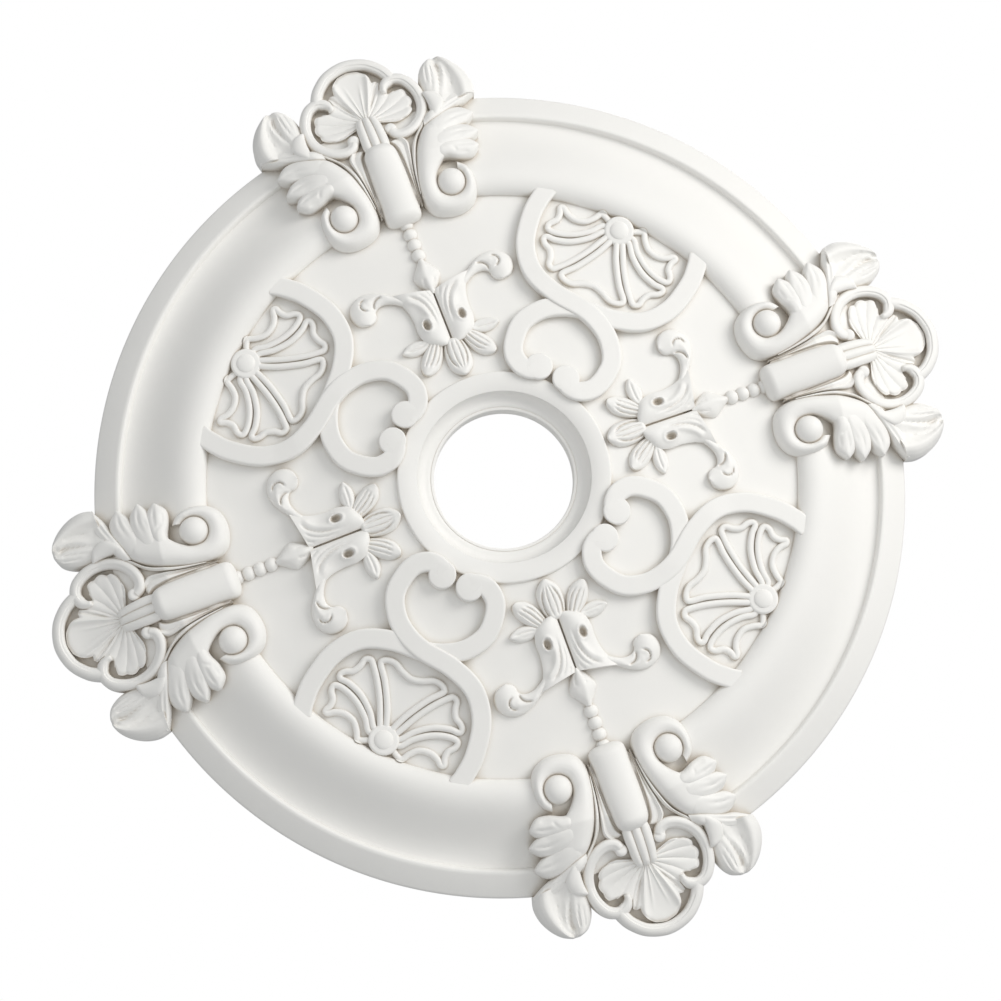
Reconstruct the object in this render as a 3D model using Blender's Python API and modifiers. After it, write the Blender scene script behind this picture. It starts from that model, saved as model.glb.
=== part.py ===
"""A round plaster-style ceiling rose, cast in one piece: a domed disc with a centre hole, a ring round the
hole, a wide moulded border and a thin lip, with four cartouches over the border, four pendants below them
and four knotted straps round a shell between them.

It is modelled lying on its back, face up, with +Y through one cartouche, and hung face down by its empty.
Widths, radii and heights are in millimetres: a point of an ornament is (across, out), where out is its
distance from the centre along the ornament's own axis.
"""

import itertools
import math

import bmesh
import bpy

MM = 0.001

# The turned body from its hole outwards: the hole's radius, then how wide each member is.
HOLE_R = 50.8
FLARE_W = 12.2
SEAT_W = 15.0
FIELD_W = 138.0
CREST_W = 11.0
BORDER_W = 51.0
STEP_W = 3.0
LIP_W = 19.0
OVERHANG = 47.5
SEAT_IN_R = HOLE_R + FLARE_W
SEAT_OUT_R = SEAT_IN_R + SEAT_W
CREASE_R = SEAT_OUT_R + FIELD_W
CREST_R = CREASE_R + CREST_W
STEP_R = CREST_R + BORDER_W
LIP_R = STEP_R + STEP_W
RIM_R = LIP_R + LIP_W
CARTOUCHE_R = RIM_R + OVERHANG

# Heights of the turned body above its flat back. The seat stands above the field and the hole's edge below it.
RIM_H = 5.0
LIP_H = 17.0
STEP_H = 12.0
CREST_H = 37.5
CREASE_H = 29.5
FIELD_H = 50.3
SEAT_H = 3.4
SEAT_EDGE = 1.5
HOLE_DROP = 7.3
HOLE_TOP_H = FIELD_H - HOLE_DROP
BODY_STEPS = 48
TURNED_STEPS = 72

# The round recess in the back, which takes the wiring, and how far it reaches past the hole.
RECESS_W = 21.2
RECESS_R = HOLE_R + RECESS_W
RECESS_DEPTH = 28.0

# Relief of the ornament above the surface that carries it.
STRAP_W = 14.2
STRAP_H = 8.0
STRAP_LAP = 1.2
CORD_W = 3.4
CORD_H = 3.6
BOSS_R = 10.5
BOSS_H = 6.5
BALL_R = 11.0
BALL_H = 42.0
BEAD_R = 5.3
FRAME_W = 8.8
FRAME_H = 8.0
BACKING_H = 4.0

# How far each ornament runs into what carries it, the steps that keep two undersides out of one plane, and
# the depth below the back that is trimmed off flat.
SINK = 4.0
UNDERSIDES = itertools.count()
UNDERSIDE_STEP = 0.05
SPARE = 16.0

COPIES = 4

# The share of the joined mesh's faces that is kept, as the cuts between ornaments leave many needless ones.
FACES_KEPT = 0.34

# The radii that the ornament was drawn to, each with the size that it follows now.
DRAWN = (
    (0.0, 0.0),
    (78.0, SEAT_OUT_R),
    (216.0, CREASE_R),
    (281.0, LIP_R),
    (300.0, RIM_R),
    (347.5, CARTOUCHE_R),
    (400.0, CARTOUCHE_R + 52.5),
)


def between(x, table):
    """The value at x of a table of (x, value) pairs, in straight lines."""
    if x <= table[0][0]:
        return table[0][1]
    for (x0, y0), (x1, y1) in zip(table, table[1:]):
        if x <= x1:
            return y0 + (y1 - y0) * (x - x0) / (x1 - x0)
    return table[-1][1]


def drawn(point):
    """A drawn point (across, out) at the sizes above."""
    return point[0], between(point[1], DRAWN)


def band():
    """The border's ogee, from its crest out to its foot."""
    points = []
    for i in range(1, 4):
        u = i / 4
        fall = u * u * (3 - 2 * u)
        points.append((CREST_R + (STEP_R - CREST_R) * u, CREST_H + (STEP_H - CREST_H) * fall))
    return points


def face_profile():
    """The face of the body from the hole out to the rim, as (radius, height)."""
    flare = SEAT_IN_R - HOLE_R
    seat = FIELD_H + SEAT_H
    return [
        (HOLE_R, HOLE_TOP_H),
        (HOLE_R + 0.4 * flare, HOLE_TOP_H + 1.0),
        (HOLE_R + 0.75 * flare, HOLE_TOP_H + 0.35 * (seat - HOLE_TOP_H)),
        (SEAT_IN_R, seat),
        (SEAT_OUT_R - SEAT_EDGE, seat),
        (SEAT_OUT_R, FIELD_H),
        (CREASE_R, CREASE_H),
        (CREST_R, CREST_H),
        *band(),
        (STEP_R, STEP_H),
        (LIP_R, LIP_H),
        (RIM_R, RIM_H),
    ]


GROUND = face_profile()

# The carved surface of a cartouche, which falls outwards across the border and past the rim.
DRAPE = (
    (0.0, CREASE_H + 4.0),
    (CREASE_R, CREASE_H + 6.0),
    (0.5 * (CREST_R + STEP_R), CREASE_H + 6.5),
    (LIP_R, LIP_H + 8.0),
    (RIM_R, RIM_H + 12.0),
    (CARTOUCHE_R, RIM_H + 1.0),
)


def ground(across, out):
    """The body's own face."""
    return between(math.hypot(across, out), GROUND)


def drape(across, out):
    return between(math.hypot(across, out), DRAPE)


def curve_through(points, count):
    """count + 1 points spaced evenly along a smooth curve through the given points."""
    fine = []
    last = len(points) - 1
    for i in range(last):
        p0 = points[max(i - 1, 0)]
        p1 = points[i]
        p2 = points[i + 1]
        p3 = points[min(i + 2, last)]
        for k in range(12):
            t = k / 12
            fine.append(tuple(
                0.5 * (2 * b + (c - a) * t + (2 * a - 5 * b + 4 * c - d) * t * t
                       + (3 * b - a - 3 * c + d) * t ** 3)
                for a, b, c, d in zip(p0, p1, p2, p3)
            ))
    fine.append(tuple(points[-1]))
    lengths = [0.0]
    for a, b in zip(fine, fine[1:]):
        lengths.append(lengths[-1] + math.dist(a, b))
    spaced = []
    for i in range(count + 1):
        want = lengths[-1] * i / count
        k = 1
        while k < len(lengths) - 1 and lengths[k] < want:
            k += 1
        share = (want - lengths[k - 1]) / max(lengths[k] - lengths[k - 1], 1e-9)
        spaced.append(tuple(a + (b - a) * share for a, b in zip(fine[k - 1], fine[k])))
    return spaced


def offset(points, distance):
    """The path moved sideways by the distance, to the right of its direction."""
    moved = []
    for i, point in enumerate(points):
        before = points[max(i - 1, 0)]
        after = points[min(i + 1, len(points) - 1)]
        dx = after[0] - before[0]
        dy = after[1] - before[1]
        length = math.hypot(dx, dy)
        moved.append((point[0] + distance * dy / length, point[1] - distance * dx / length))
    return moved


def flip(points):
    return [(-p[0], *p[1:]) for p in points]


def solid_between(name, left, right, stations, top, bottom):
    """A closed body over the strip between two edges: stations are the shares across, top and bottom give heights."""
    bm = bmesh.new()
    deeper = UNDERSIDE_STEP * next(UNDERSIDES)
    rows = []
    for i, (a, b) in enumerate(zip(left, right)):
        u = i / (len(left) - 1)
        pinched = math.dist(a, b) < 0.01
        upper = []
        lower = []
        for v in stations:
            x = a[0] + (b[0] - a[0]) * v
            y = a[1] + (b[1] - a[1]) * v
            z = top(u, stations[0] if pinched else v, x, y)
            upper.append(bm.verts.new((x * MM, y * MM, z * MM)))
            lower.append(bm.verts.new((x * MM, y * MM, (bottom(x, y) - deeper) * MM)))
        rows.append((upper, lower))
    for (upper, lower), (upper_2, lower_2) in zip(rows, rows[1:]):
        for j in range(len(stations) - 1):
            bm.faces.new((upper[j], upper[j + 1], upper_2[j + 1], upper_2[j]))
            bm.faces.new((lower[j], lower_2[j], lower_2[j + 1], lower[j + 1]))
        bm.faces.new((upper[0], upper_2[0], lower_2[0], lower[0]))
        bm.faces.new((upper[-1], lower[-1], lower_2[-1], upper_2[-1]))
    for upper, lower in (rows[0], rows[-1]):
        for j in range(len(stations) - 1):
            bm.faces.new((upper[j], lower[j], lower[j + 1], upper[j + 1]))
    bmesh.ops.remove_doubles(bm, verts=bm.verts, dist=1e-6)
    bmesh.ops.dissolve_degenerate(bm, edges=bm.edges, dist=1e-6)
    bmesh.ops.recalc_face_normals(bm, faces=bm.faces)
    return mesh_of(name, bm)


def mesh_of(name, bm):
    mesh = bpy.data.meshes.new(name)
    bm.to_mesh(mesh)
    bm.free()
    return mesh


def round_piece(name, centre, radius, low, high, sides, rings):
    """A dome of the given plan radius, from the height low up to the height high."""
    bm = bmesh.new()
    bmesh.ops.create_uvsphere(bm, u_segments=sides, v_segments=rings, radius=1.0)
    x, y = drawn(centre)
    for vert in bm.verts:
        rise = high - low if vert.co.z > 0 else SINK + 2.0
        vert.co = (
            (x + radius * vert.co.x) * MM,
            (y + radius * vert.co.y) * MM,
            (low + rise * vert.co.z) * MM,
        )
    return mesh_of(name, bm)


def dome(v, edge, power=2.0):
    """A rounded cross-section: edge at both sides and 1 in the middle."""
    return edge + (1 - edge) * (1 - abs(2 * v - 1) ** power)


FLAT = (0.0, 1.0)
RIDGE = (0.0, 0.5, 1.0)
ROUND = (0.0, 0.3, 0.7, 1.0)


def strap(name, path, width, count, stations, top, bottom):
    """A strap of one width along a path."""
    centre = [drawn(p) for p in curve_through(path, count)]
    return solid_between(name, offset(centre, -width / 2), offset(centre, width / 2), stations, top, bottom)


def leaf(name, left, right, count, stations, top, bottom):
    """A leaf between two drawn edges."""
    left = [drawn(p) for p in curve_through(left, count)]
    right = [drawn(p) for p in curve_through(right, count)]
    return solid_between(name, left, right, stations, top, bottom)


def below(across, out):
    """The underside of an ornament on the field, sunk into the body."""
    return ground(across, out) - SINK


def back(across, out):
    """The underside of an ornament that is trimmed flat with the back."""
    return -SINK


def both_sides(make, name, *args):
    """A piece and its mirror image across its ornament's axis."""
    return [make(name + "_right", 1, *args), make(name + "_left", -1, *args)]


def side(points, sign):
    return points if sign > 0 else flip(points)


def knot():
    """The strap that crosses itself, ending in two discs beside the seat ring."""
    path = [(-63.0, 203.0), (-63.6, 190.0), (-58.5, 167.0), (-45.0, 149.5), (-24.0, 141.0), (2.0, 138.0),
            (17.0, 133.5), (28.0, 124.5), (34.8, 110.0), (34.6, 96.0), (30.0, 85.5), (21.5, 79.6)]

    def over(u, v, x, y):
        return ground(x, y) + STRAP_H + STRAP_LAP * max(0.0, 1 - abs(u - 0.52) / 0.2)

    def under(u, v, x, y):
        return ground(x, y) + STRAP_H

    made = [
        strap("knot_over", path, STRAP_W, 18, FLAT, over, below),
        strap("knot_under", flip(path), STRAP_W, 18, FLAT, under, below),
    ]
    for sign in (1, -1):
        centre = (10.6 * sign, 83.6)
        low = ground(*drawn(centre))
        made.append(disc("knot_disc", centre, 10.0, low - SINK, low + STRAP_H, 14))
    return made


def disc(name, centre, radius, low, high, sides):
    """A flat round plate."""
    bm = bmesh.new()
    bmesh.ops.create_cone(bm, cap_ends=True, segments=sides, radius1=1.0, radius2=1.0, depth=1.0)
    low -= UNDERSIDE_STEP * next(UNDERSIDES)
    x, y = drawn(centre)
    for vert in bm.verts:
        z = high if vert.co.z > 0 else low
        vert.co = ((x + radius * vert.co.x) * MM, (y + radius * vert.co.y) * MM, z * MM)
    return mesh_of(name, bm)


def shell():
    """The shell in the strap's arch: a boss, ribs in pairs and a cord round the edge."""
    x, y = drawn((0.0, 207.0))
    low = ground(x, y)
    made = [
        disc("boss", (0.0, 207.0), BOSS_R, low - SINK, low + BOSS_H - 1.5, 14),
        round_piece("boss_dome", (0.0, 207.0), 0.7 * BOSS_R, low + BOSS_H - 2.0, low + BOSS_H, 10, 4),
    ]

    def cord_top(u, v, x, y):
        return ground(x, y) + CORD_H * (1.0 if v == 0.5 else 0.35)

    ribs = (
        [(2.5, 199.0), (10.5, 180.0), (25.0, 155.5)],
        [(7.5, 198.0), (17.0, 178.0), (31.5, 157.0)],
        [(9.0, 203.0), (20.0, 188.5), (34.0, 181.0), (50.0, 178.5)],
        [(10.5, 206.0), (22.0, 193.0), (35.0, 186.5), (50.5, 184.5)],
    )
    edges = (
        [(11.5, 205.5), (14.0, 213.5), (18.5, 212.5), (20.5, 206.5), (28.0, 202.0), (38.0, 201.5), (47.5, 206.0)],
        [(47.0, 206.0), (45.6, 198.0), (51.0, 190.5), (50.5, 184.5)],
        [(50.0, 181.0), (50.5, 176.5), (43.0, 173.5), (37.5, 168.0), (36.0, 159.0), (31.5, 155.5)],
    )
    for sign in (1, -1):
        for i, path in enumerate(ribs):
            made.append(strap("rib", side(path, sign), CORD_W, 2 + i // 2, RIDGE, cord_top, below))
        for path in edges:
            made.append(strap("edge_cord", side(path, sign), CORD_W, len(path) + 1, RIDGE, cord_top, below))
    foot = [(-31.5, 156.5), (-24.0, 153.5), (-15.5, 152.3), (-8.0, 155.0), (0.0, 158.0),
            (8.0, 155.0), (15.5, 152.3), (24.0, 153.5), (31.5, 156.5)]
    made.append(strap("foot_cord", foot, CORD_W, 9, RIDGE, cord_top, below))
    return made


def pendant():
    """Beads, a bud, a two-lobed leaf, its scrolled arms and five petals."""
    made = []
    for out in (196.3, 187.6, 178.8):
        low = ground(0.0, between(out, DRAWN))
        made.append(round_piece("bead", (0.0, out), BEAD_R, low, low + BEAD_R, 8, 6))
    made.append(leaf(
        "bud",
        [(0.0, 175.0), (-4.0, 171.0), (-10.2, 162.0), (-7.0, 153.5), (-2.0, 147.5)],
        [(0.0, 175.0), (4.0, 171.0), (10.2, 162.0), (7.0, 153.5), (2.0, 147.5)],
        5, ROUND, lambda u, v, x, y: ground(x, y) + 2.0 + 6.0 * dome(v, 0.0) * math.sin(math.pi * (0.1 + 0.8 * u)),
        below,
    ))

    def lobe(name, sign):
        inner = [(0.8, 149.2), (0.8, 138.0), (0.8, 122.0), (0.8, 105.5)]
        outer = [(29.0, 153.5), (22.4, 138.0), (20.8, 122.0), (13.0, 107.0)]
        return leaf(
            name, side(inner, sign), side(outer, sign), 6, (0.0, 0.2, 0.45, 0.75, 1.0),
            lambda u, v, x, y: ground(x, y) + 1.0 + 8.5 * math.sin(math.pi * (0.08 + 0.86 * v)) ** 0.7,
            below,
        )

    def arm(name, sign):
        upper = [(8.0, 154.0), (20.0, 155.5), (31.0, 160.5), (42.0, 165.0), (51.0, 164.5), (59.0, 160.0),
                 (62.0, 153.0)]
        lower = [(8.0, 140.0), (20.0, 146.0), (29.0, 150.0), (38.0, 152.5), (43.5, 153.0), (46.5, 152.0),
                 (48.0, 150.5)]
        return leaf(
            name, side(upper, sign), side(lower, sign), 8, ROUND,
            lambda u, v, x, y: ground(x, y) + 2.0 + 4.0 * dome(v, 0.0),
            below,
        )

    def knob(name, sign):
        low = ground(*drawn((53.0, 151.0)))
        return round_piece(name, (53.0 * sign, 151.0), 9.0, low, low + 6.0, 10, 6)

    def petal(name, sign, left, right, ribs):
        return leaf(
            name, side(left, sign), side(right, sign), 4, tuple(i / ribs for i in range(ribs + 1)),
            lambda u, v, x, y: ground(x, y) + 2.0 + 3.0 * (1 - u * u * 0.6) * (1.0 if round(v * ribs) % 2 else 0.4),
            below,
        )

    made += both_sides(lobe, "mask_lobe")
    made += both_sides(arm, "arm")
    made += both_sides(knob, "arm_knob")
    made.append(petal("petal_middle", 1, [(-4.0, 109.0), (-8.5, 99.0), (-8.8, 90.0), (0.0, 80.5)],
                      [(4.0, 109.0), (8.5, 99.0), (8.8, 90.0), (0.0, 80.5)], 6))
    made += both_sides(petal, "petal_side", [(8.0, 109.0), (11.0, 99.0), (18.0, 91.0), (27.0, 89.5)],
                       [(15.0, 111.0), (22.0, 104.5), (27.0, 97.5), (27.0, 89.5)], 4)
    made += both_sides(petal, "petal_small", [(17.0, 110.0), (24.0, 106.3), (31.0, 106.0), (37.0, 110.5)],
                       [(17.0, 114.0), (24.0, 116.0), (32.0, 115.5), (37.0, 110.5)], 2)
    return made


def cartouche():
    """The ornament over the border: barrel, collar, framed fan, scrolls with balls, leaves and ears."""
    made = []
    made.append(leaf(
        "barrel",
        [(-9.0, 267.0), (-12.8, 256.0), (-13.6, 240.0), (-13.8, 224.0), (-17.5, 210.5)],
        [(9.0, 267.0), (12.8, 256.0), (13.6, 240.0), (13.8, 224.0), (17.5, 210.5)],
        6, (0.0, 0.2, 0.5, 0.8, 1.0), lambda u, v, x, y: 36.5 + 10.0 * dome(v, 0.0, 2.4) * math.sin(math.pi * (0.3 + 0.45 * u)),
        back,
    ))
    made.append(leaf(
        "barrel_foot", [(-17.5, 212.0), (-9.0, 212.5), (0.0, 212.5), (9.0, 212.5), (17.5, 212.0)],
        [(-17.0, 211.0), (-9.0, 206.5), (0.0, 204.5), (9.0, 206.5), (17.0, 211.0)],
        4, (0.0, 0.6, 1.0), lambda u, v, x, y: 33.0 + (9.0 - 8.0 * v * v) * math.sin(math.pi * (0.1 + 0.8 * u)),
        back,
    ))

    def reeds(u, v, x, y):
        reed = 1.0 if round(v * 6) % 2 else 0.0
        return drape(x, y) + 6.0 + 3.0 * math.sin(math.pi * u) + 1.8 * reed

    made.append(leaf(
        "collar", [(-9.8, 263.5), (-9.3, 273.0), (-8.0, 285.0), (-6.5, 295.0)],
        [(9.8, 263.5), (9.3, 273.0), (8.0, 285.0), (6.5, 295.0)],
        2, tuple(i / 6 for i in range(7)), reeds, back,
    ))

    def frame_top(u, v, x, y):
        return drape(x, y) + FRAME_H * (0.45 if v in (0.0, 1.0) else 1.0)

    made.append(strap("frame_crown", [(-27.0, 318.0), (-25.0, 328.0), (-15.0, 339.0), (0.0, 343.2),
                                      (15.0, 339.0), (25.0, 328.0), (27.0, 318.0)],
                      FRAME_W, 10, RIDGE, frame_top, back))

    def frame_side(name, sign):
        path = [(25.0, 317.5), (33.0, 318.5), (40.5, 313.0), (44.4, 304.0), (44.2, 294.0), (40.5, 284.0),
                (33.5, 276.0), (25.0, 272.3), (17.0, 272.6), (12.6, 276.5)]
        return strap(name, side(path, sign), FRAME_W, 13, RIDGE, frame_top, back)

    def curl(name, sign):
        high = drape(*drawn((13.6, 279.5))) + FRAME_H
        return disc(name, (13.6 * sign, 279.5), 4.9, back(0.0, 0.0), high, 10)

    made += both_sides(frame_side, "frame_side")
    made += both_sides(curl, "frame_curl")
    made.append(backing())
    made.append(fan())

    def scroll(name, sign):
        outer = [(43.0, 277.0), (33.0, 266.0), (25.0, 254.0), (19.5, 240.0), (16.8, 226.0), (17.0, 212.5),
                 (22.5, 203.8), (31.5, 199.4), (41.5, 198.6), (51.0, 202.0), (57.5, 210.0), (59.6, 220.0),
                 (58.5, 230.0), (54.0, 237.0)]
        inner = [(58.0, 281.0), (56.0, 268.0), (53.0, 255.0), (48.0, 245.0), (37.0, 238.5), (31.0, 231.0),
                 (29.8, 222.0), (32.5, 215.0), (37.5, 211.3), (43.0, 210.6), (48.5, 212.2), (52.6, 216.5),
                 (54.2, 222.5), (53.0, 229.5)]
        across = (0.0, 0.2, 0.5, 0.8, 1.0)
        rise = (0.0, 0.7, 1.0, 0.8, 0.2)

        def top(u, v, x, y):
            k = across.index(v)
            full = 11.0 - 3.0 * u
            return min(drape(x, y), 38.5) - 1.0 + full * rise[k]

        return leaf(name, side(outer, sign), side(inner, sign), 14, across, top, back)

    def ball(name, sign):
        return round_piece(name, (42.2 * sign, 222.8), BALL_R, BALL_H - 5.0, BALL_H + 5.5, 12, 8)

    def lobe(name, sign, upper, lower, rise):
        return leaf(
            name, side(upper, sign), side(lower, sign), 4, ROUND,
            lambda u, v, x, y: drape(x, y) - 4.0 * u + rise * dome(v, 0.1) * (1 - 0.45 * u * u),
            back,
        )

    def side_leaves(name, sign):
        inner = [(46.0, 275.0), (45.0, 262.0), (43.0, 250.0), (42.0, 239.0)]
        tips = [(66.0, 279.5), (76.5, 270.5), (64.0, 262.0), (75.0, 254.5), (64.0, 248.0), (70.0, 243.0),
                (56.0, 235.5)]
        inner = curve_through(inner, 6)

        def top(u, v, x, y):
            ridge = 3.0 if round(u * 6) % 2 else 0.0
            return drape(x, y) + 5.0 - 6.0 * v * v + ridge * min(1.0, 2 * v)

        left = [drawn(p) for p in side(inner, sign)]
        right = [drawn(p) for p in side(tips, sign)]
        return solid_between(name, left, right, (0.0, 0.35, 0.7, 1.0), top, back)

    made += both_sides(scroll, "scroll")
    made += both_sides(ball, "ball")
    made += both_sides(side_leaves, "side_leaves")
    made += both_sides(lobe, "leaf_long", [(43.0, 281.0), (57.0, 289.5), (72.0, 294.5), (84.5, 291.0)],
                       [(43.0, 275.0), (57.0, 279.5), (71.0, 282.5), (84.0, 288.0)], 9.0)
    made += both_sides(lobe, "leaf_round", [(46.0, 303.5), (51.5, 304.0), (56.5, 301.0), (60.0, 294.0)],
                       [(46.0, 281.5), (51.0, 280.5), (55.5, 282.0), (59.0, 288.0)], 9.5)

    def ear(name, sign):
        inner = [(44.0, 286.0), (47.5, 303.0), (50.0, 318.0), (56.5, 326.5), (63.0, 329.0)]
        outer = [(84.0, 288.0), (86.0, 299.0), (83.5, 311.0), (77.0, 322.0), (68.0, 328.5)]
        across = (0.0, 0.25, 0.45, 0.75, 0.93, 1.0)
        rise = (4.0, 9.0, 10.0, 4.0, 9.0, 4.0)
        return leaf(
            name, side(inner, sign), side(outer, sign), 6, across,
            lambda u, v, x, y: drape(x, y) + rise[across.index(v)] * (1 - 0.3 * u),
            back,
        )

    def dart(name, sign):
        inner = [(10.0, 268.0), (14.8, 258.0), (15.2, 244.0), (14.6, 230.0), (14.2, 216.0)]
        outer = [(29.0, 267.0), (21.5, 256.0), (18.5, 242.0), (17.2, 228.0), (16.2, 216.0)]
        return leaf(
            name, side(inner, sign), side(outer, sign), 5, RIDGE,
            lambda u, v, x, y: 36.0 + (4.5 if v == 0.5 else 1.5) * (1 - 0.5 * u),
            back,
        )

    made += both_sides(ear, "ear")
    made += both_sides(dart, "dart")
    return made


def backing():
    """The plate behind the framed fan, past the rim."""
    left = [(-44.0, 284.0), (-45.5, 300.0), (-36.0, 317.0), (-26.0, 323.0), (-14.0, 339.0)]
    right = flip(left)
    return leaf("backing", left, right, 4, (0.0, 1.0), lambda u, v, x, y: BACKING_H + 6.0 * (1 - u), back)


FAN_EDGE = ((-104.0, 27.0), (-88.0, 36.0), (-72.0, 38.5), (-56.0, 36.0), (-44.0, 31.5), (-37.0, 37.0),
            (-26.0, 36.0), (-18.0, 38.0), (-8.0, 43.5), (0.0, 44.5))


def fan():
    """The ribbed fan inside the frame, spread from the collar's top."""
    bm = bmesh.new()
    x0, y0 = drawn((0.0, 292.0))
    low = back(x0, y0) - UNDERSIDE_STEP * next(UNDERSIDES)
    turns = 26
    shares = (0.15, 0.6, 1.0)
    lift = (4.5, 3.0, 4.0)
    rows = []
    for i in range(turns + 1):
        angle = -104.0 + 208.0 * i / turns
        reach = between(-abs(angle), FAN_EDGE)
        groove = 1.6 if i % 2 else 0.0
        upper = []
        lower = []
        for share, rise in zip(shares, lift):
            x = x0 + share * reach * math.sin(math.radians(angle))
            y = between(292.0 + share * reach * math.cos(math.radians(angle)), DRAWN)
            z = drape(x, y) + rise - groove * share
            upper.append(bm.verts.new((x * MM, y * MM, z * MM)))
            lower.append(bm.verts.new((x * MM, y * MM, low * MM)))
        rows.append((upper, lower))
    hub = bm.verts.new((x0 * MM, (y0 - 2.0) * MM, (drape(x0, y0) + 4.0) * MM))
    hub_low = bm.verts.new((x0 * MM, (y0 - 2.0) * MM, low * MM))
    for (upper, lower), (upper_2, lower_2) in zip(rows, rows[1:]):
        for j in range(len(shares) - 1):
            bm.faces.new((upper[j], upper_2[j], upper_2[j + 1], upper[j + 1]))
            bm.faces.new((lower[j], lower[j + 1], lower_2[j + 1], lower_2[j]))
        bm.faces.new((hub, upper_2[0], upper[0]))
        bm.faces.new((hub_low, lower[0], lower_2[0]))
        bm.faces.new((upper[-1], upper_2[-1], lower_2[-1], lower[-1]))
    for upper, lower in (rows[0], rows[-1]):
        for j in range(len(shares) - 1):
            bm.faces.new((upper[j], lower[j], lower[j + 1], upper[j + 1]))
        bm.faces.new((hub, hub_low, lower[0], upper[0]))
    bmesh.ops.recalc_face_normals(bm, faces=bm.faces)
    return mesh_of("fan", bm)


def body_profile():
    """Half the cross-section of the plain disc, from its axis out along the face and back in along the underside."""
    outer = [point for point in GROUND if point[0] >= CREASE_R]
    return [(0.0, FIELD_H + 0.5), (SEAT_OUT_R, FIELD_H), *outer, (RIM_R, -SPARE), (0.0, -SPARE)]


def seat_profile():
    """The cross-section of the ring round the hole, sunk into the disc."""
    seat = FIELD_H + SEAT_H
    return [
        (0.5 * HOLE_R, seat),
        (SEAT_OUT_R - SEAT_EDGE, seat),
        (SEAT_OUT_R, FIELD_H + 0.2),
        (SEAT_OUT_R, FIELD_H - SINK),
        (0.5 * HOLE_R, FIELD_H - SINK),
    ]


def opening_profile():
    """Half the cross-section of what the hole, its flare and the recess in the back take away."""
    face = [point for point in GROUND if point[0] <= SEAT_IN_R]
    last = face[-1]
    before = face[-2]
    slope = (last[0] - before[0]) / (last[1] - before[1])
    return [
        (0.0, last[1] + SPARE),
        (last[0] + slope * SPARE, last[1] + SPARE),
        *reversed(face),
        (HOLE_R, RECESS_DEPTH),
        (RECESS_R, RECESS_DEPTH),
        (RECESS_R, -SPARE),
        (0.0, -SPARE),
    ]


def clear_scene():
    for obj in list(bpy.data.objects):
        bpy.data.objects.remove(obj, do_unlink=True)


def collection(name):
    made = bpy.data.collections.new(name)
    bpy.context.scene.collection.children.link(made)
    return made


def material():
    mat = bpy.data.materials.new("white_cast")
    mat.use_nodes = True
    shader = mat.node_tree.nodes["Principled BSDF"]
    shader.inputs["Base Color"].default_value = (0.86, 0.85, 0.83, 1.0)
    shader.inputs["Roughness"].default_value = 0.75
    shader.inputs["Metallic"].default_value = 0.0
    return mat


def turned(name, profile, steps, into):
    """A profile of (radius, height) points turned round the hole's axis."""
    bm = bmesh.new()
    verts = [bm.verts.new((r * MM, 0.0, h * MM)) for r, h in profile]
    for a, b in zip(verts, verts[1:] + verts[:1]):
        if a.co.x > 0.0 or b.co.x > 0.0:
            bm.edges.new((a, b))
    obj = bpy.data.objects.new(name, mesh_of(name, bm))
    into.objects.link(obj)
    screw = obj.modifiers.new("turn", "SCREW")
    screw.axis = "Z"
    screw.steps = steps
    screw.render_steps = steps
    screw.use_merge_vertices = True
    screw.merge_threshold = 0.00001
    screw.use_smooth_shade = False
    return obj


def spread(meshes, first_turn, into):
    """Each mesh copied round the centre."""
    for mesh in meshes:
        for k in range(COPIES):
            obj = bpy.data.objects.new(mesh.name, mesh)
            obj.rotation_euler = (0.0, 0.0, first_turn + k * 2 * math.pi / COPIES)
            into.objects.link(obj)


def trimmer(into):
    """What is cut away to leave the back flat."""
    bpy.ops.mesh.primitive_cube_add(size=1.0, location=(0.0, 0.0, -SPARE * MM))
    obj = bpy.context.object
    obj.name = "below_the_back"
    obj.scale = (3 * CARTOUCHE_R * MM, 3 * CARTOUCHE_R * MM, 2 * SPARE * MM)
    for other in list(obj.users_collection):
        other.objects.unlink(obj)
    into.objects.link(obj)
    return obj


def boolean(obj, name, operation, other):
    """A join or a cut with one object or with every object of a collection."""
    modifier = obj.modifiers.new(name, "BOOLEAN")
    modifier.operation = operation
    modifier.solver = "EXACT"
    if isinstance(other, bpy.types.Collection):
        modifier.operand_type = "COLLECTION"
        modifier.collection = other
    else:
        modifier.object = other


def cast(body, relief, cutters):
    """The disc and its relief as one mesh, thinned of the faces that crossings leave, with an exact centre."""
    below_the_back = trimmer(cutters)
    seat = turned("seat_ring", seat_profile(), TURNED_STEPS, cutters)
    opening = turned("opening", opening_profile(), TURNED_STEPS, cutters)
    boolean(body, "relief", "UNION", relief)
    boolean(body, "flat_back", "DIFFERENCE", below_the_back)
    body.modifiers.new("triangles", "TRIANGULATE")
    thin = body.modifiers.new("thin_out", "DECIMATE")
    thin.ratio = FACES_KEPT
    thin.use_collapse_triangulate = True
    boolean(body, "seat", "UNION", seat)
    boolean(body, "centre", "DIFFERENCE", opening)
    bpy.context.view_layer.update()
    made = bpy.data.meshes.new_from_object(body.evaluated_get(bpy.context.evaluated_depsgraph_get()))
    for obj in [body, *relief.objects, *cutters.objects]:
        bpy.data.objects.remove(obj, do_unlink=True)
    bpy.data.collections.remove(relief)
    bpy.data.collections.remove(cutters)
    return made


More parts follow.
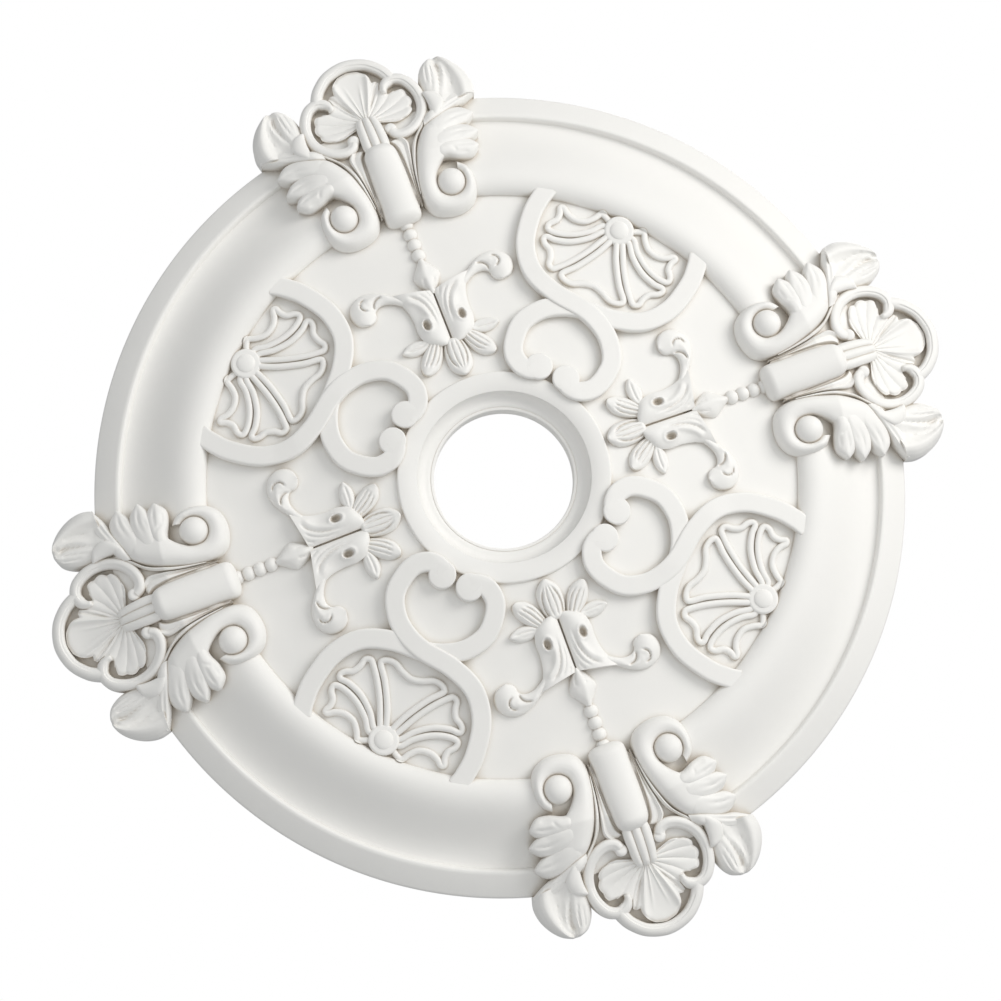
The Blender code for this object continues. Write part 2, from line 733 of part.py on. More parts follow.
def main():
    clear_scene()
    rose = collection("ceiling_rose")
    relief = collection("relief")
    cutters = collection("cutters")
    body = turned("turned_body", body_profile(), BODY_STEPS, rose)
    spread(cartouche() + pendant(), 0.0, relief)
    spread(knot() + shell(), math.pi / COPIES, relief)
    mesh = cast(body, relief, cutters)
    mesh.name = "ceiling_rose"
    mesh.materials.clear()
    mesh.materials.append(material())
    mesh.set_sharp_from_angle(angle=math.radians(35.0))
    hung = bpy.data.objects.new("hung_face_down", None)
    hung.rotation_euler = (math.pi, 0.0, 0.0)
    rose.objects.link(hung)
    finished = bpy.data.objects.new("ceiling_rose", mesh)
    finished.parent = hung
    rose.objects.link(finished)
    bpy.context.view_layer.update()


main()
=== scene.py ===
"""The looks of a cast ceiling rose: its carved face at full detail, its white finish, and the studio.

The casting is built lying on its back, face up, in millimetres, and is turned over onto the ceiling as it
is finished. A point of an ornament is (across, out): out is its distance from the rose's centre along the
ornament's own axis, and across is to the right when out is up.
"""

import math

import bmesh
import bpy
from bpy.props import FloatProperty, FloatVectorProperty, PointerProperty
from mathutils import Matrix, Vector


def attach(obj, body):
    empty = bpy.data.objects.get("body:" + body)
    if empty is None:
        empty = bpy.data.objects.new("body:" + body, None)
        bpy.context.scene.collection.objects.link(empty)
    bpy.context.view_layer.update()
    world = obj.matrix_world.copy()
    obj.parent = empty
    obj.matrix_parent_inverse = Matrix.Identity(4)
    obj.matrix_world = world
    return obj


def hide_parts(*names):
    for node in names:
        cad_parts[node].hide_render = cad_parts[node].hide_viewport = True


bl_info = {
    "name": "Cast Ceiling Rose",
    "version": (1, 0, 0),
    "blender": (4, 5, 0),
    "location": "3D View > Sidebar > Ceiling Rose",
    "description": "Builds the carved face of a cast ceiling rose, its finish and its studio",
    "category": "Object",
}

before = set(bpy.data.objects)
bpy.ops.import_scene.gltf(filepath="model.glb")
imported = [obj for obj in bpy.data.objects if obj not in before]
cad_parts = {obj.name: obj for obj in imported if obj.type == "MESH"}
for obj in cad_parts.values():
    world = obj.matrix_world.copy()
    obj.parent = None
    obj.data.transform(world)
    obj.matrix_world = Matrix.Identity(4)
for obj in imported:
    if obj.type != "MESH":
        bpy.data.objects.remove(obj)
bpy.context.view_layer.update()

MM = 0.001
COPIES = 4
QUARTER = 2 * math.pi / COPIES
NODE = "ceiling_rose"

# Radii of the turned disc.
HOLE_R = 50.8
FLARE_R = 55.5
SEAT_IN_R = 63.0
SEAT_OUT_R = 78.0
CREASE_R = 216.0
CREST_R = 227.0
STEP_R = 278.0
LIP_R = 281.0
RIM_R = 300.0
CARTOUCHE_R = 347.5
RECESS_R = 72.0

# Heights of the turned disc above its back.
RIM_H = 5.0
LIP_H = 17.0
STEP_H = 12.0
CREST_H = 37.5
CREASE_H = 29.5
FIELD_H = 50.3
SEAT_H = 3.4
HOLE_TOP_H = 43.0
RECESS_DEPTH = 28.0

# Rounded edges of the turned disc: at the seat's outside, at the rim, and where the back meets its walls.
SEAT_ROUND = 1.6
RIM_ROUND = (3.2, 3.6)
BACK_EDGE = 0.8
HOLE_EDGE = 0.6

# How far an ornament runs into what carries it, and how far above the back its underside ends.
SINK = 4.0
BACK_GAP = 0.15

# How far a pendant's forms stand on the field before they swell, and where a cartouche's ground levels off.
PENDANT_FOOT = 0.8
BED_TOP_H = 36.5

# How finely curves are drawn: steps round the disc, along its field and border, between two points of a path
# or of a carved line, and across and round a plate's soft edge.
TURN_STEPS = 360
FIELD_STEPS = 30
BORDER_STEPS = 24
PATH_STEPS = 24
STROKE_STEPS = 5
EDGE_STEPS = 5
PLATE_STEPS = 48

# Points nearer than this, in metres, are one, and an edge bent by more degrees than this stays sharp.
MERGE = 1e-7
SHARP_ANGLE = 42.0

# The primer: noise cells to a metre, heights of the bumps and reach of the painted crevice shade, in
# millimetres.
CLOUD_SCALE = 14.0
SWELL_SCALE = 55.0
SKIN_SCALE = 420.0
SWELL_DEPTH = 0.35
SKIN_DEPTH = 0.12
# Painted shade: how far the occlusion looks when it darkens the primer in crevices.
CREVICE_SHADE_REACH = 9.0

# The photograph's view: the camera's tilt off the rose's axis, its lean and the rose's turn, in degrees; its
# distance from the middle of the face, in metres; the lens and where its axis meets the picture, in pixels;
# and the height of the middle of the face, in millimetres.
PHOTO_SIDE = 1001
VIEW_TILT = 9.92
VIEW_LEAN = -102.02
VIEW_TURN = 20.55
VIEW_DISTANCE = 1.877
VIEW_LENS_PX = 2600.0
AXIS_PX = (504.33, 476.97)
EYE_H = 51.0
SENSOR_WIDTH = 36.0

# The studio: places of the lights, sides of their squares and the floor's radius, in metres. The key and the
# fill are placed as the photograph's viewer sees them.
KEY_PLACE = (1.85, 1.1, 1.6)
KEY_SIDE = 1.4
FILL_PLACE = (-0.4, -0.3, 2.1)
FILL_SIDE = 3.0
ABOVE_PLACE = (1.2, -1.0, 2.6)
ABOVE_SIDE = 2.0
WARM = (1.0, 0.985, 0.96)
COOL = (0.985, 0.99, 1.0)
SKY = (0.96, 0.98, 1.0)
WHITE = (1.0, 1.0, 1.0)
FLOOR_COLOUR = (0.86, 0.86, 0.85)
FLOOR_RADIUS = 40.0


class RoseSizes(bpy.types.PropertyGroup):
    strap_width: FloatProperty(
        name="Strap Width", description="Width of the knotted strap",
        default=14.2 * MM, unit="LENGTH")
    strap_height: FloatProperty(
        name="Strap Height", description="How far the strap stands off the field",
        default=8.0 * MM, unit="LENGTH")
    cord_width: FloatProperty(
        name="Cord Width", description="Width of the cord round each panel of the shell",
        default=5.0 * MM, unit="LENGTH")
    cord_height: FloatProperty(
        name="Cord Height", description="How far the cord stands off the field",
        default=3.6 * MM, unit="LENGTH")
    frame_width: FloatProperty(
        name="Frame Width", description="Width of the roll round the fan",
        default=8.8 * MM, unit="LENGTH")
    frame_height: FloatProperty(
        name="Frame Height", description="How far the roll round the fan stands up",
        default=8.0 * MM, unit="LENGTH")
    bead_radius: FloatProperty(
        name="Bead Radius", description="Radius of a pendant's beads",
        default=5.3 * MM, unit="LENGTH")
    ball_radius: FloatProperty(
        name="Ball Radius", description="Radius of the ball in each scroll",
        default=11.0 * MM, unit="LENGTH")


class RoseFinish(bpy.types.PropertyGroup):
    face: FloatVectorProperty(
        name="Face", description="Colour of the white primer",
        default=(0.86, 0.85, 0.825), subtype="COLOR")
    # Painted shade: the darker, warmer colour painted into the carving's crevices, where little light
    # reaches.
    crevice_shade: FloatVectorProperty(
        name="Crevice", description="Colour of the primer deep in the carving",
        default=(0.56, 0.505, 0.43), subtype="COLOR")
    roughness: FloatProperty(
        name="Roughness", description="Roughness of the primer",
        default=0.6, min=0.0, max=1.0, subtype="FACTOR")


class RoseStudio(bpy.types.PropertyGroup):
    key_power: FloatProperty(
        name="Key Power", description="Power of the light from the upper right",
        default=41.0, unit="POWER")
    fill_power: FloatProperty(
        name="Fill Power", description="Power of the soft light under the rose",
        default=2.0, unit="POWER")
    above_power: FloatProperty(
        name="Above Power", description="Power of the light over the back", default=60.0, unit="POWER")
    sky_strength: FloatProperty(
        name="Sky Strength", description="Strength of the light from all round", default=0.41, min=0.0)
    floor_glow: FloatProperty(
        name="Floor Glow", description="Strength of the floor's own light", default=0.12, min=0.0)
    floor_drop: FloatProperty(
        name="Floor Drop", description="How far the floor lies below the ceiling",
        default=2.4, unit="LENGTH")


def between(x, table):
    """The value at x of a table of (x, value) pairs, in straight lines."""
    if x <= table[0][0]:
        return table[0][1]
    for (x0, y0), (x1, y1) in zip(table, table[1:]):
        if x <= x1:
            return y0 + (y1 - y0) * (x - x0) / (x1 - x0)
    return table[-1][1]


def eased(t):
    t = min(max(t, 0.0), 1.0)
    return t * t * (3 - 2 * t)


def arc(centre, radii, start, end, steps):
    """Points of an elliptical arc between two angles in degrees."""
    angles = [math.radians(start + (end - start) * i / steps) for i in range(steps + 1)]
    return [(centre[0] + radii[0] * math.cos(a), centre[1] + radii[1] * math.sin(a)) for a in angles]


def slope():
    """The straight field, from the seat ring out to the crease."""
    points = []
    for i in range(1, FIELD_STEPS):
        u = i / FIELD_STEPS
        points.append((SEAT_OUT_R + (CREASE_R - SEAT_OUT_R) * u, FIELD_H + (CREASE_H - FIELD_H) * u))
    return points


def crest_roll():
    """The roll from the crease up to the border's crest."""
    return arc((CREST_R, CREASE_H), (CREST_R - CREASE_R, CREST_H - CREASE_H), 180.0, 90.0, 10)


def border():
    """The border's ogee, from its crest out to its foot."""
    points = []
    for i in range(1, BORDER_STEPS):
        u = i / BORDER_STEPS
        points.append((CREST_R + (STEP_R - CREST_R) * u, CREST_H + (STEP_H - CREST_H) * eased(u)))
    return points


def lip():
    """The step up to the lip, its slope and its rounded rim."""
    return [
        (STEP_R, STEP_H),
        (STEP_R + 0.7, STEP_H + 0.3),
        (LIP_R - 1.2, LIP_H - 1.6),
        (LIP_R - 0.3, LIP_H - 0.3),
        (LIP_R + 0.8, LIP_H),
        (LIP_R + 3.0, LIP_H - 1.0),
        (LIP_R + 0.6 * (RIM_R - LIP_R), LIP_H + 0.55 * (RIM_H - LIP_H)),
        *arc((RIM_R - RIM_ROUND[0], RIM_H - 1.5), RIM_ROUND, 60.0, 0.0, 6),
    ]


def face_profile():
    """The face of the disc from the hole out to the rim, as (radius, height)."""
    seat = FIELD_H + SEAT_H
    return [
        (HOLE_R, HOLE_TOP_H - 1.0),
        (HOLE_R + 0.3, HOLE_TOP_H - 0.3),
        (HOLE_R + 1.0, HOLE_TOP_H),
        (HOLE_R + 2.0, HOLE_TOP_H),
        (HOLE_R + 2.4, HOLE_TOP_H - 0.5),
        (HOLE_R + 2.8, HOLE_TOP_H),
        *arc((FLARE_R, seat), (SEAT_IN_R - FLARE_R, seat - HOLE_TOP_H - 0.4), -90.0, -4.0, 14),
        (SEAT_IN_R, seat - 0.3),
        (SEAT_IN_R + 0.4, seat),
        (SEAT_OUT_R - 2.0, seat),
        *arc((SEAT_OUT_R - 2.0, seat - SEAT_ROUND), (SEAT_ROUND, SEAT_ROUND), 90.0, 0.0, 6),
        (SEAT_OUT_R, FIELD_H),
        *slope(),
        *crest_roll(),
        *border(),
        *lip(),
    ]


# The disc's own face, as (radius, height).
GROUND = [(0.0, FIELD_H), (SEAT_OUT_R, FIELD_H), (CREASE_R, CREASE_H), *crest_roll()[1:], *border(), *lip()]

# The carved surface of a cartouche, which falls outwards across the border and past the rim.
DRAPE = (
    (0.0, CREASE_H + 4.0),
    (CREASE_R, CREASE_H + 6.0),
    (0.5 * (CREST_R + STEP_R), CREASE_H + 6.5),
    (LIP_R, LIP_H + 8.0),
    (RIM_R, RIM_H + 12.0),
    (CARTOUCHE_R, RIM_H + 1.0),
)


def ground(x, y):
    """The disc's own face."""
    return between(math.hypot(x, y), GROUND)


def field(x, y):
    """The slope of the field, carried on past the crease."""
    share = (max(math.hypot(x, y), SEAT_OUT_R) - SEAT_OUT_R) / (CREASE_R - SEAT_OUT_R)
    return FIELD_H + (CREASE_H - FIELD_H) * share


def drape(x, y):
    """The carved surface of a cartouche, before its relief."""
    return between(math.hypot(x, y), DRAPE)


def bed_height(x, y):
    """The ground between a cartouche's forms, which levels off towards the field."""
    return min(drape(x, y), BED_TOP_H)


def in_field(x, y):
    """The underside of an ornament on the field, sunk into the disc."""
    return ground(x, y) - SINK


def at_back(gap=0.0):
    """The underside of an ornament that reaches the back, a little higher than the one beside it."""
    return lambda x, y: BACK_GAP + gap


def curve_through(points, count):
    """count + 1 points spaced evenly along a smooth curve through the given points."""
    fine = stepped(points, PATH_STEPS)
    lengths = [0.0]
    for a, b in zip(fine, fine[1:]):
        lengths.append(lengths[-1] + math.dist(a, b))
    spaced = []
    k = 1
    for i in range(count + 1):
        want = lengths[-1] * i / count
        while k < len(lengths) - 1 and lengths[k] < want:
            k += 1
        share = (want - lengths[k - 1]) / max(lengths[k] - lengths[k - 1], 1e-9)
        spaced.append(tuple(a + (b - a) * share for a, b in zip(fine[k - 1], fine[k])))
    return spaced


def offset(points, distances):
    """The path moved sideways by a distance at each point, to the right of its direction."""
    moved = []
    for i, (point, distance) in enumerate(zip(points, distances)):
        before = points[max(i - 1, 0)]
        after = points[min(i + 1, len(points) - 1)]
        dx = after[0] - before[0]
        dy = after[1] - before[1]
        length = math.hypot(dx, dy)
        moved.append((point[0] + distance * dy / length, point[1] - distance * dx / length))
    return moved


def side(points, sign):
    return points if sign > 0 else [(-x, y) for x, y in points]


def round_off(v):
    """A half-round cross-section: 0 at both edges and 1 in the middle."""
    return math.sqrt(max(0.0, 1 - (2 * v - 1) ** 2))


def pit(x, y, centre, radii, depth):
    """How far a drilled oval pit takes a surface down at (x, y)."""
    edge = 1.35
    far = math.hypot((x - centre[0]) / radii[0], (y - centre[1]) / radii[1])
    return depth * eased(edge - far)


def close_down(bm, verts, low):
    """A skirt from an open sheet's edge down to its underside, and the underside."""
    rim = [e for e in {e for v in verts for e in v.link_edges} if e.is_boundary]
    extruded = bmesh.ops.extrude_edge_only(bm, edges=rim)["geom"]
    lower = [g for g in extruded if isinstance(g, bmesh.types.BMVert)]
    for vert in lower:
        vert.co.z = low(vert.co.x / MM, vert.co.y / MM) * MM
    open_edges = [g for g in extruded if isinstance(g, bmesh.types.BMEdge) and g.is_boundary]
    bmesh.ops.holes_fill(bm, edges=open_edges, sides=0)
    every = list(verts) + lower
    bmesh.ops.remove_doubles(bm, verts=every, dist=MERGE)
    kept = [v for v in every if v.is_valid]
    faces = list({f for v in kept for f in v.link_faces})
    bmesh.ops.recalc_face_normals(bm, faces=faces)


def sheet(bm, left, right, columns, height, low):
    """A relief form over the strip between two paths of as many points each."""
    rows = len(left) - 1
    verts = bmesh.ops.create_grid(bm, x_segments=columns, y_segments=rows, size=0.5)["verts"]
    for vert in verts:
        i = round((vert.co.y + 0.5) * rows)
        v = 0.5 - 0.5 * math.cos(math.pi * (vert.co.x + 0.5))
        x = left[i][0] + (right[i][0] - left[i][0]) * v
        y = left[i][1] + (right[i][1] - left[i][1]) * v
        vert.co = (x * MM, y * MM, height(i / rows, v, x, y) * MM)
    close_down(bm, verts, low)


def stepped(points, steps):
    """A smooth curve through the points, with as many steps between each two of them."""
    fine = []
    last = len(points) - 1
    for i in range(last):
        p0 = points[max(i - 1, 0)]
        p1 = points[i]
        p2 = points[i + 1]
        p3 = points[min(i + 2, last)]
        for k in range(steps):
            t = k / steps
            fine.append(tuple(
                0.5 * (2 * b + (c - a) * t + (2 * a - 5 * b + 4 * c - d) * t * t
                       + (3 * b - a - 3 * c + d) * t ** 3)
                for a, b, c, d in zip(p0, p1, p2, p3)
            ))
    fine.append(tuple(points[-1]))
    return fine


def leaf(bm, left, right, sign, steps, columns, height, low):
    """A relief form between two edges drawn through pairs of points, on the left of the axis for sign -1."""
    sheet(bm, stepped(side(left, sign), steps), stepped(side(right, sign), steps), columns, height, low)


def stroke(path, width, depth):
    """A line to carve along a curve: a groove where the depth is below zero, a ridge above it."""
    points = stepped(path, STROKE_STEPS)
    reach = 2.4 * width
    across = [p[0] for p in points]
    out = [p[1] for p in points]
    box = (min(across) - reach, max(across) + reach, min(out) - reach, max(out) + reach)
    return points, width, depth, box


def carved(x, y, strokes):
    """How far the strokes raise or lower a surface at (x, y)."""
    total = 0.0
    for points, width, depth, box in strokes:
        if not (box[0] < x < box[1] and box[2] < y < box[3]):
            continue
        best = 1e9
        place = 0.0
        last = len(points) - 1
        for i in range(last):
            ax, ay = points[i]
            bx = points[i + 1][0] - ax
            by = points[i + 1][1] - ay
            t = ((x - ax) * bx + (y - ay) * by) / max(bx * bx + by * by, 1e-9)
            t = min(max(t, 0.0), 1.0)
            far = (x - ax - t * bx) ** 2 + (y - ay - t * by) ** 2
            if far < best:
                best = far
                place = (i + t) / last
        # The line fades in over its first fifth and out over its last third.
        ends = eased(place / 0.22 + 0.12) * eased((1 - place) / 0.3 + 0.08)
        total += depth * ends * math.exp(-best / (width * width))
    return total


def strap(bm, path, width, rows, columns, height, low, start=1.0):
    """A relief form along a smooth curve, whose first eighth may widen from a narrower start."""
    centre = curve_through(path, rows)
    halves = [0.5 * width * (start + (1 - start) * eased(8 * i / rows)) for i in range(rows + 1)]
    sheet(bm, offset(centre, [-h for h in halves]), offset(centre, halves), columns, height, low)


def dome(bm, centre, radius, low, high, steps=32):
    """A round dome, its foot sunk into what carries it."""
    verts = bmesh.ops.create_uvsphere(bm, u_segments=steps, v_segments=steps // 2, radius=1.0)["verts"]
    for vert in verts:
        rise = high - low if vert.co.z > 0 else SINK
        vert.co = (
            (centre[0] + radius * vert.co.x) * MM,
            (centre[1] + radius * vert.co.y) * MM,
            (low + rise * vert.co.z) * MM,
        )


def disc(bm, centre, radius, height, low, soft=1.2):
    """A flat round plate whose upper edge is softened."""
    flat = (radius - soft) * MM
    made = bmesh.ops.create_circle(bm, cap_ends=True, radius=flat, segments=PLATE_STEPS)["verts"]
    bmesh.ops.translate(bm, verts=made, vec=(centre[0] * MM, centre[1] * MM, 0.0))
    verts = list(made)
    edges = [e for e in {e for v in made for e in v.link_edges} if e.is_boundary]
    for i in range(1, EDGE_STEPS + 1):
        angle = math.radians(90.0 * i / EDGE_STEPS)
        reach = radius - soft + soft * math.sin(angle)
        extruded = bmesh.ops.extrude_edge_only(bm, edges=edges)["geom"]
        ring = [g for g in extruded if isinstance(g, bmesh.types.BMVert)]
        edges = [g for g in extruded if isinstance(g, bmesh.types.BMEdge) and g.is_boundary]
        for vert in ring:
            away = Vector((vert.co.x / MM - centre[0], vert.co.y / MM - centre[1])).normalized()
            vert.co = ((centre[0] + away.x * reach) * MM, (centre[1] + away.y * reach) * MM,
                       -soft * (1 - math.cos(angle)) * MM)
        verts += ring
    for vert in verts:
        vert.co.z += height(vert.co.x / MM, vert.co.y / MM) * MM
    close_down(bm, verts, low)


def turned_over(turn):
    """From the bench, face up, to the ceiling, face down, after a turn round the axis."""
    return Matrix.Rotation(math.pi, 4, "X") @ Matrix.Rotation(turn, 4, "Z")


def finish_piece(bm, name, turn):
    """The mesh as a named piece in its place, smooth but for its sharp edges."""
    mesh = bpy.data.meshes.new(name)
    bm.to_mesh(mesh)
    mesh.transform(turned_over(turn))
    mesh.shade_smooth()
    mesh.set_sharp_from_angle(angle=math.radians(SHARP_ANGLE))
    mesh.materials.append(primer())
    piece = bpy.data.objects.new(name, mesh)
    bpy.context.scene.collection.objects.link(piece)
    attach(piece, "root")
    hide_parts(NODE)


def finish_copies(bm, name, first_turn):
    """Four copies of an ornament round the rose."""
    for k in range(COPIES):
        finish_piece(bm, f"{name}_{k + 1}", first_turn + k * QUARTER)
    bm.free()


def noise(tree, place, scale, detail):
    """A cloudy noise fixed to the casting."""
    node = tree.nodes.new("ShaderNodeTexNoise")
    node.inputs["Scale"].default_value = scale
    node.inputs["Detail"].default_value = detail
    tree.links.new(place.outputs["Object"], node.inputs["Vector"])
    return node.outputs["Fac"]


def mapped(tree, value, span, result):
    """A value that runs over one span, spread over another."""
    node = tree.nodes.new("ShaderNodeMapRange")
    node.inputs["From Min"].default_value = span[0]
    node.inputs["From Max"].default_value = span[1]
    node.inputs["To Min"].default_value = result[0]
    node.inputs["To Max"].default_value = result[1]
    tree.links.new(value, node.inputs["Value"])
    return node.outputs["Result"]


def bumped(tree, height, strength, depth):
    """A bump of a depth in millimetres."""
    node = tree.nodes.new("ShaderNodeBump")
    node.inputs["Strength"].default_value = strength
    node.inputs["Distance"].default_value = depth * MM
    tree.links.new(height, node.inputs["Height"])
    return node


def primer():
    """Matt white primer with painted shade, warmer and darker deep in the carving where the crevices keep
    out light, over a slightly uneven casting.
    """
    found = bpy.data.materials.get("rose_primer")
    if found:
        return found
    finish = bpy.context.scene.rose_finish
    mat = bpy.data.materials.new("rose_primer")
    mat.use_nodes = True
    tree = mat.node_tree
    links = tree.links
    shader = tree.nodes["Principled BSDF"]
    place = tree.nodes.new("ShaderNodeTexCoord")

    # Painted shade: ambient occlusion mixes the primer towards the darker crevice colour in the carving's
    # recesses.
    crevice_shade = tree.nodes.new("ShaderNodeAmbientOcclusion")
    crevice_shade.samples = 8
    crevice_shade.only_local = False
    crevice_shade.inputs["Distance"].default_value = CREVICE_SHADE_REACH * MM
    open_to_light = mapped(tree, crevice_shade.outputs["AO"], (0.12, 0.72), (0.0, 1.0))
    shaded_face = tree.nodes.new("ShaderNodeMix")
    shaded_face.data_type = "RGBA"
    shaded_face.inputs["A"].default_value = (*finish.crevice_shade, 1.0)
    shaded_face.inputs["B"].default_value = (*finish.face, 1.0)
    links.new(open_to_light, shaded_face.inputs["Factor"])
    tone = tree.nodes.new("ShaderNodeVectorMath")
    tone.operation = "SCALE"
    cloud = noise(tree, place, CLOUD_SCALE, 3.0)
    links.new(shaded_face.outputs["Result"], tone.inputs[0])
    links.new(mapped(tree, cloud, (0.0, 1.0), (0.975, 1.02)), tone.inputs["Scale"])
    links.new(tone.outputs["Vector"], shader.inputs["Base Color"])

    swell = noise(tree, place, SWELL_SCALE, 2.0)
    fine = bumped(tree, noise(tree, place, SKIN_SCALE, 4.0), 0.18, SKIN_DEPTH)
    broad = bumped(tree, swell, 0.35, SWELL_DEPTH)
    links.new(fine.outputs["Normal"], broad.inputs["Normal"])
    links.new(broad.outputs["Normal"], shader.inputs["Normal"])
    rough = mapped(tree, swell, (0.0, 1.0), (finish.roughness - 0.05, finish.roughness + 0.08))
    links.new(rough, shader.inputs["Roughness"])
    return mat


class RoseDisc(bpy.types.Operator):
    """Turn the disc with its hole, seat ring, field, border, lip and back"""

    bl_idname = "rose.disc"
    bl_label = "Disc"

    def execute(self, context):
        bm = bmesh.new()
        profile = [
            (RIM_R - BACK_EDGE, 0.0),
            (RECESS_R + BACK_EDGE, 0.0),
            (RECESS_R, BACK_EDGE),
            (RECESS_R, RECESS_DEPTH),
            (HOLE_R + HOLE_EDGE, RECESS_DEPTH),
            (HOLE_R, RECESS_DEPTH + HOLE_EDGE),
            *face_profile(),
            (RIM_R, BACK_EDGE),
        ]
        verts = [bm.verts.new((r * MM, 0.0, h * MM)) for r, h in profile]
        edges = [bm.edges.new(pair) for pair in zip(verts, verts[1:] + verts[:1])]
        bmesh.ops.spin(bm, geom=verts + edges, cent=(0, 0, 0), axis=(0, 0, 1), angle=2 * math.pi,
                       steps=TURN_STEPS, use_merge=True)
        bmesh.ops.remove_doubles(bm, verts=bm.verts, dist=MERGE)
        bmesh.ops.recalc_face_normals(bm, faces=bm.faces)
        finish_piece(bm, "rose_disc", 0.0)
        bm.free()
        return {"FINISHED"}


class RoseKnots(bpy.types.Operator):
    """Lay the strap that crosses itself, with its two discs by the seat ring, four times"""

    bl_idname = "rose.knots"
    bl_label = "Knotted Straps"

    def execute(self, context):
        sizes = context.scene.rose_sizes
        width = sizes.strap_width / MM
        rise = sizes.strap_height / MM
        path = [(-61.0, 215.5), (-63.2, 206.0), (-63.8, 190.0), (-58.5, 167.0), (-45.0, 149.5),
                (-24.0, 141.0), (1.0, 138.2), (15.8, 133.0), (27.6, 124.2), (35.6, 110.6), (35.6, 96.4),
                (31.6, 85.6), (23.4, 79.4), (15.8, 79.2), (10.8, 81.8)]
        disc_centre = (10.7, 84.0)
        disc_radius = 10.0
        round_width = 1.3
        round_depth = 1.1
        lap_rise = 1.5

        def soft_edge(v):
            near = min(v, 1 - v) * width
            return round_depth * max(0.0, 1 - near / round_width) ** 2

        def over(u, v, x, y):
            lap = lap_rise * eased((u - 0.26) / 0.12) * eased((0.70 - u) / 0.14)
            return field(x, y) + rise + lap - soft_edge(v)

        def under(u, v, x, y):
            return field(x, y) + rise - soft_edge(v)

        bm = bmesh.new()
        strap(bm, path, width, 230, 16, over, in_field)
        strap(bm, side(path, -1), width, 230, 16, under, in_field)
        for sign in (1, -1):
            centre = (disc_centre[0] * sign, disc_centre[1])
            disc(bm, centre, disc_radius, lambda x, y: field(x, y) + rise + 0.02, in_field)
        finish_copies(bm, "knot", 0.5 * QUARTER)
        return {"FINISHED"}


class RoseShells(bpy.types.Operator):
    """Make the shell in each strap's arch: a boss, and a cord round each of its five panels"""

    bl_idname = "rose.shells"
    bl_label = "Shells"

    def execute(self, context):
        sizes = context.scene.rose_sizes
        width = sizes.cord_width / MM
        rise = sizes.cord_height / MM
        bm = bmesh.new()
        boss = (0.0, 207.0)
        boss_rise = 5.0
        boss_radius = 11.2
        dome_radius = 7.0
        low = ground(*boss)
        disc(bm, boss, boss_radius, lambda x, y: low + boss_rise, in_field, soft=2.0)
        dome(bm, boss, dome_radius, low + boss_rise - 0.4, low + boss_rise + 2.0, 40)

        def cord(u, v, x, y):
            return ground(x, y) + rise * (0.2 + 0.8 * round_off(v) ** 0.8)

        outer = [(9.0, 206.6), (13.4, 205.2), (18.4, 198.6), (27.0, 191.6), (36.0, 187.2), (44.6, 185.4),
                 (49.0, 186.6), (49.0, 190.6), (45.4, 195.6), (45.2, 201.0), (47.0, 205.4), (44.6, 206.4),
                 (40.0, 203.2), (33.4, 201.6), (25.8, 203.4), (20.6, 208.8), (17.6, 213.8), (14.0, 213.6),
                 (9.0, 211.0)]
        inner = [(7.6, 204.0), (11.6, 200.6), (17.8, 192.6), (28.4, 184.6), (39.6, 180.6), (46.6, 180.2),
                 (48.2, 177.4), (45.6, 174.2), (40.4, 171.4), (37.4, 165.8), (36.4, 160.6), (33.2, 158.8),
                 (30.2, 160.6), (22.8, 169.4), (15.0, 181.6), (8.2, 195.4), (5.6, 201.0)]
        half = [(2.0, 200.0), (3.2, 195.4), (7.8, 184.2), (16.6, 169.0), (24.2, 159.6), (24.4, 156.4),
                (20.6, 154.2), (14.8, 154.2), (8.0, 157.6), (0.0, 159.6)]
        for sign in (1, -1):
            strap(bm, side(outer, sign), width, 190, 12, cord, in_field)
            strap(bm, side(inner, sign), width, 190, 12, cord, in_field)
        strap(bm, half + side(half[-2::-1], -1), width, 220, 12, cord, in_field)
        finish_copies(bm, "shell", 0.5 * QUARTER)
        return {"FINISHED"}


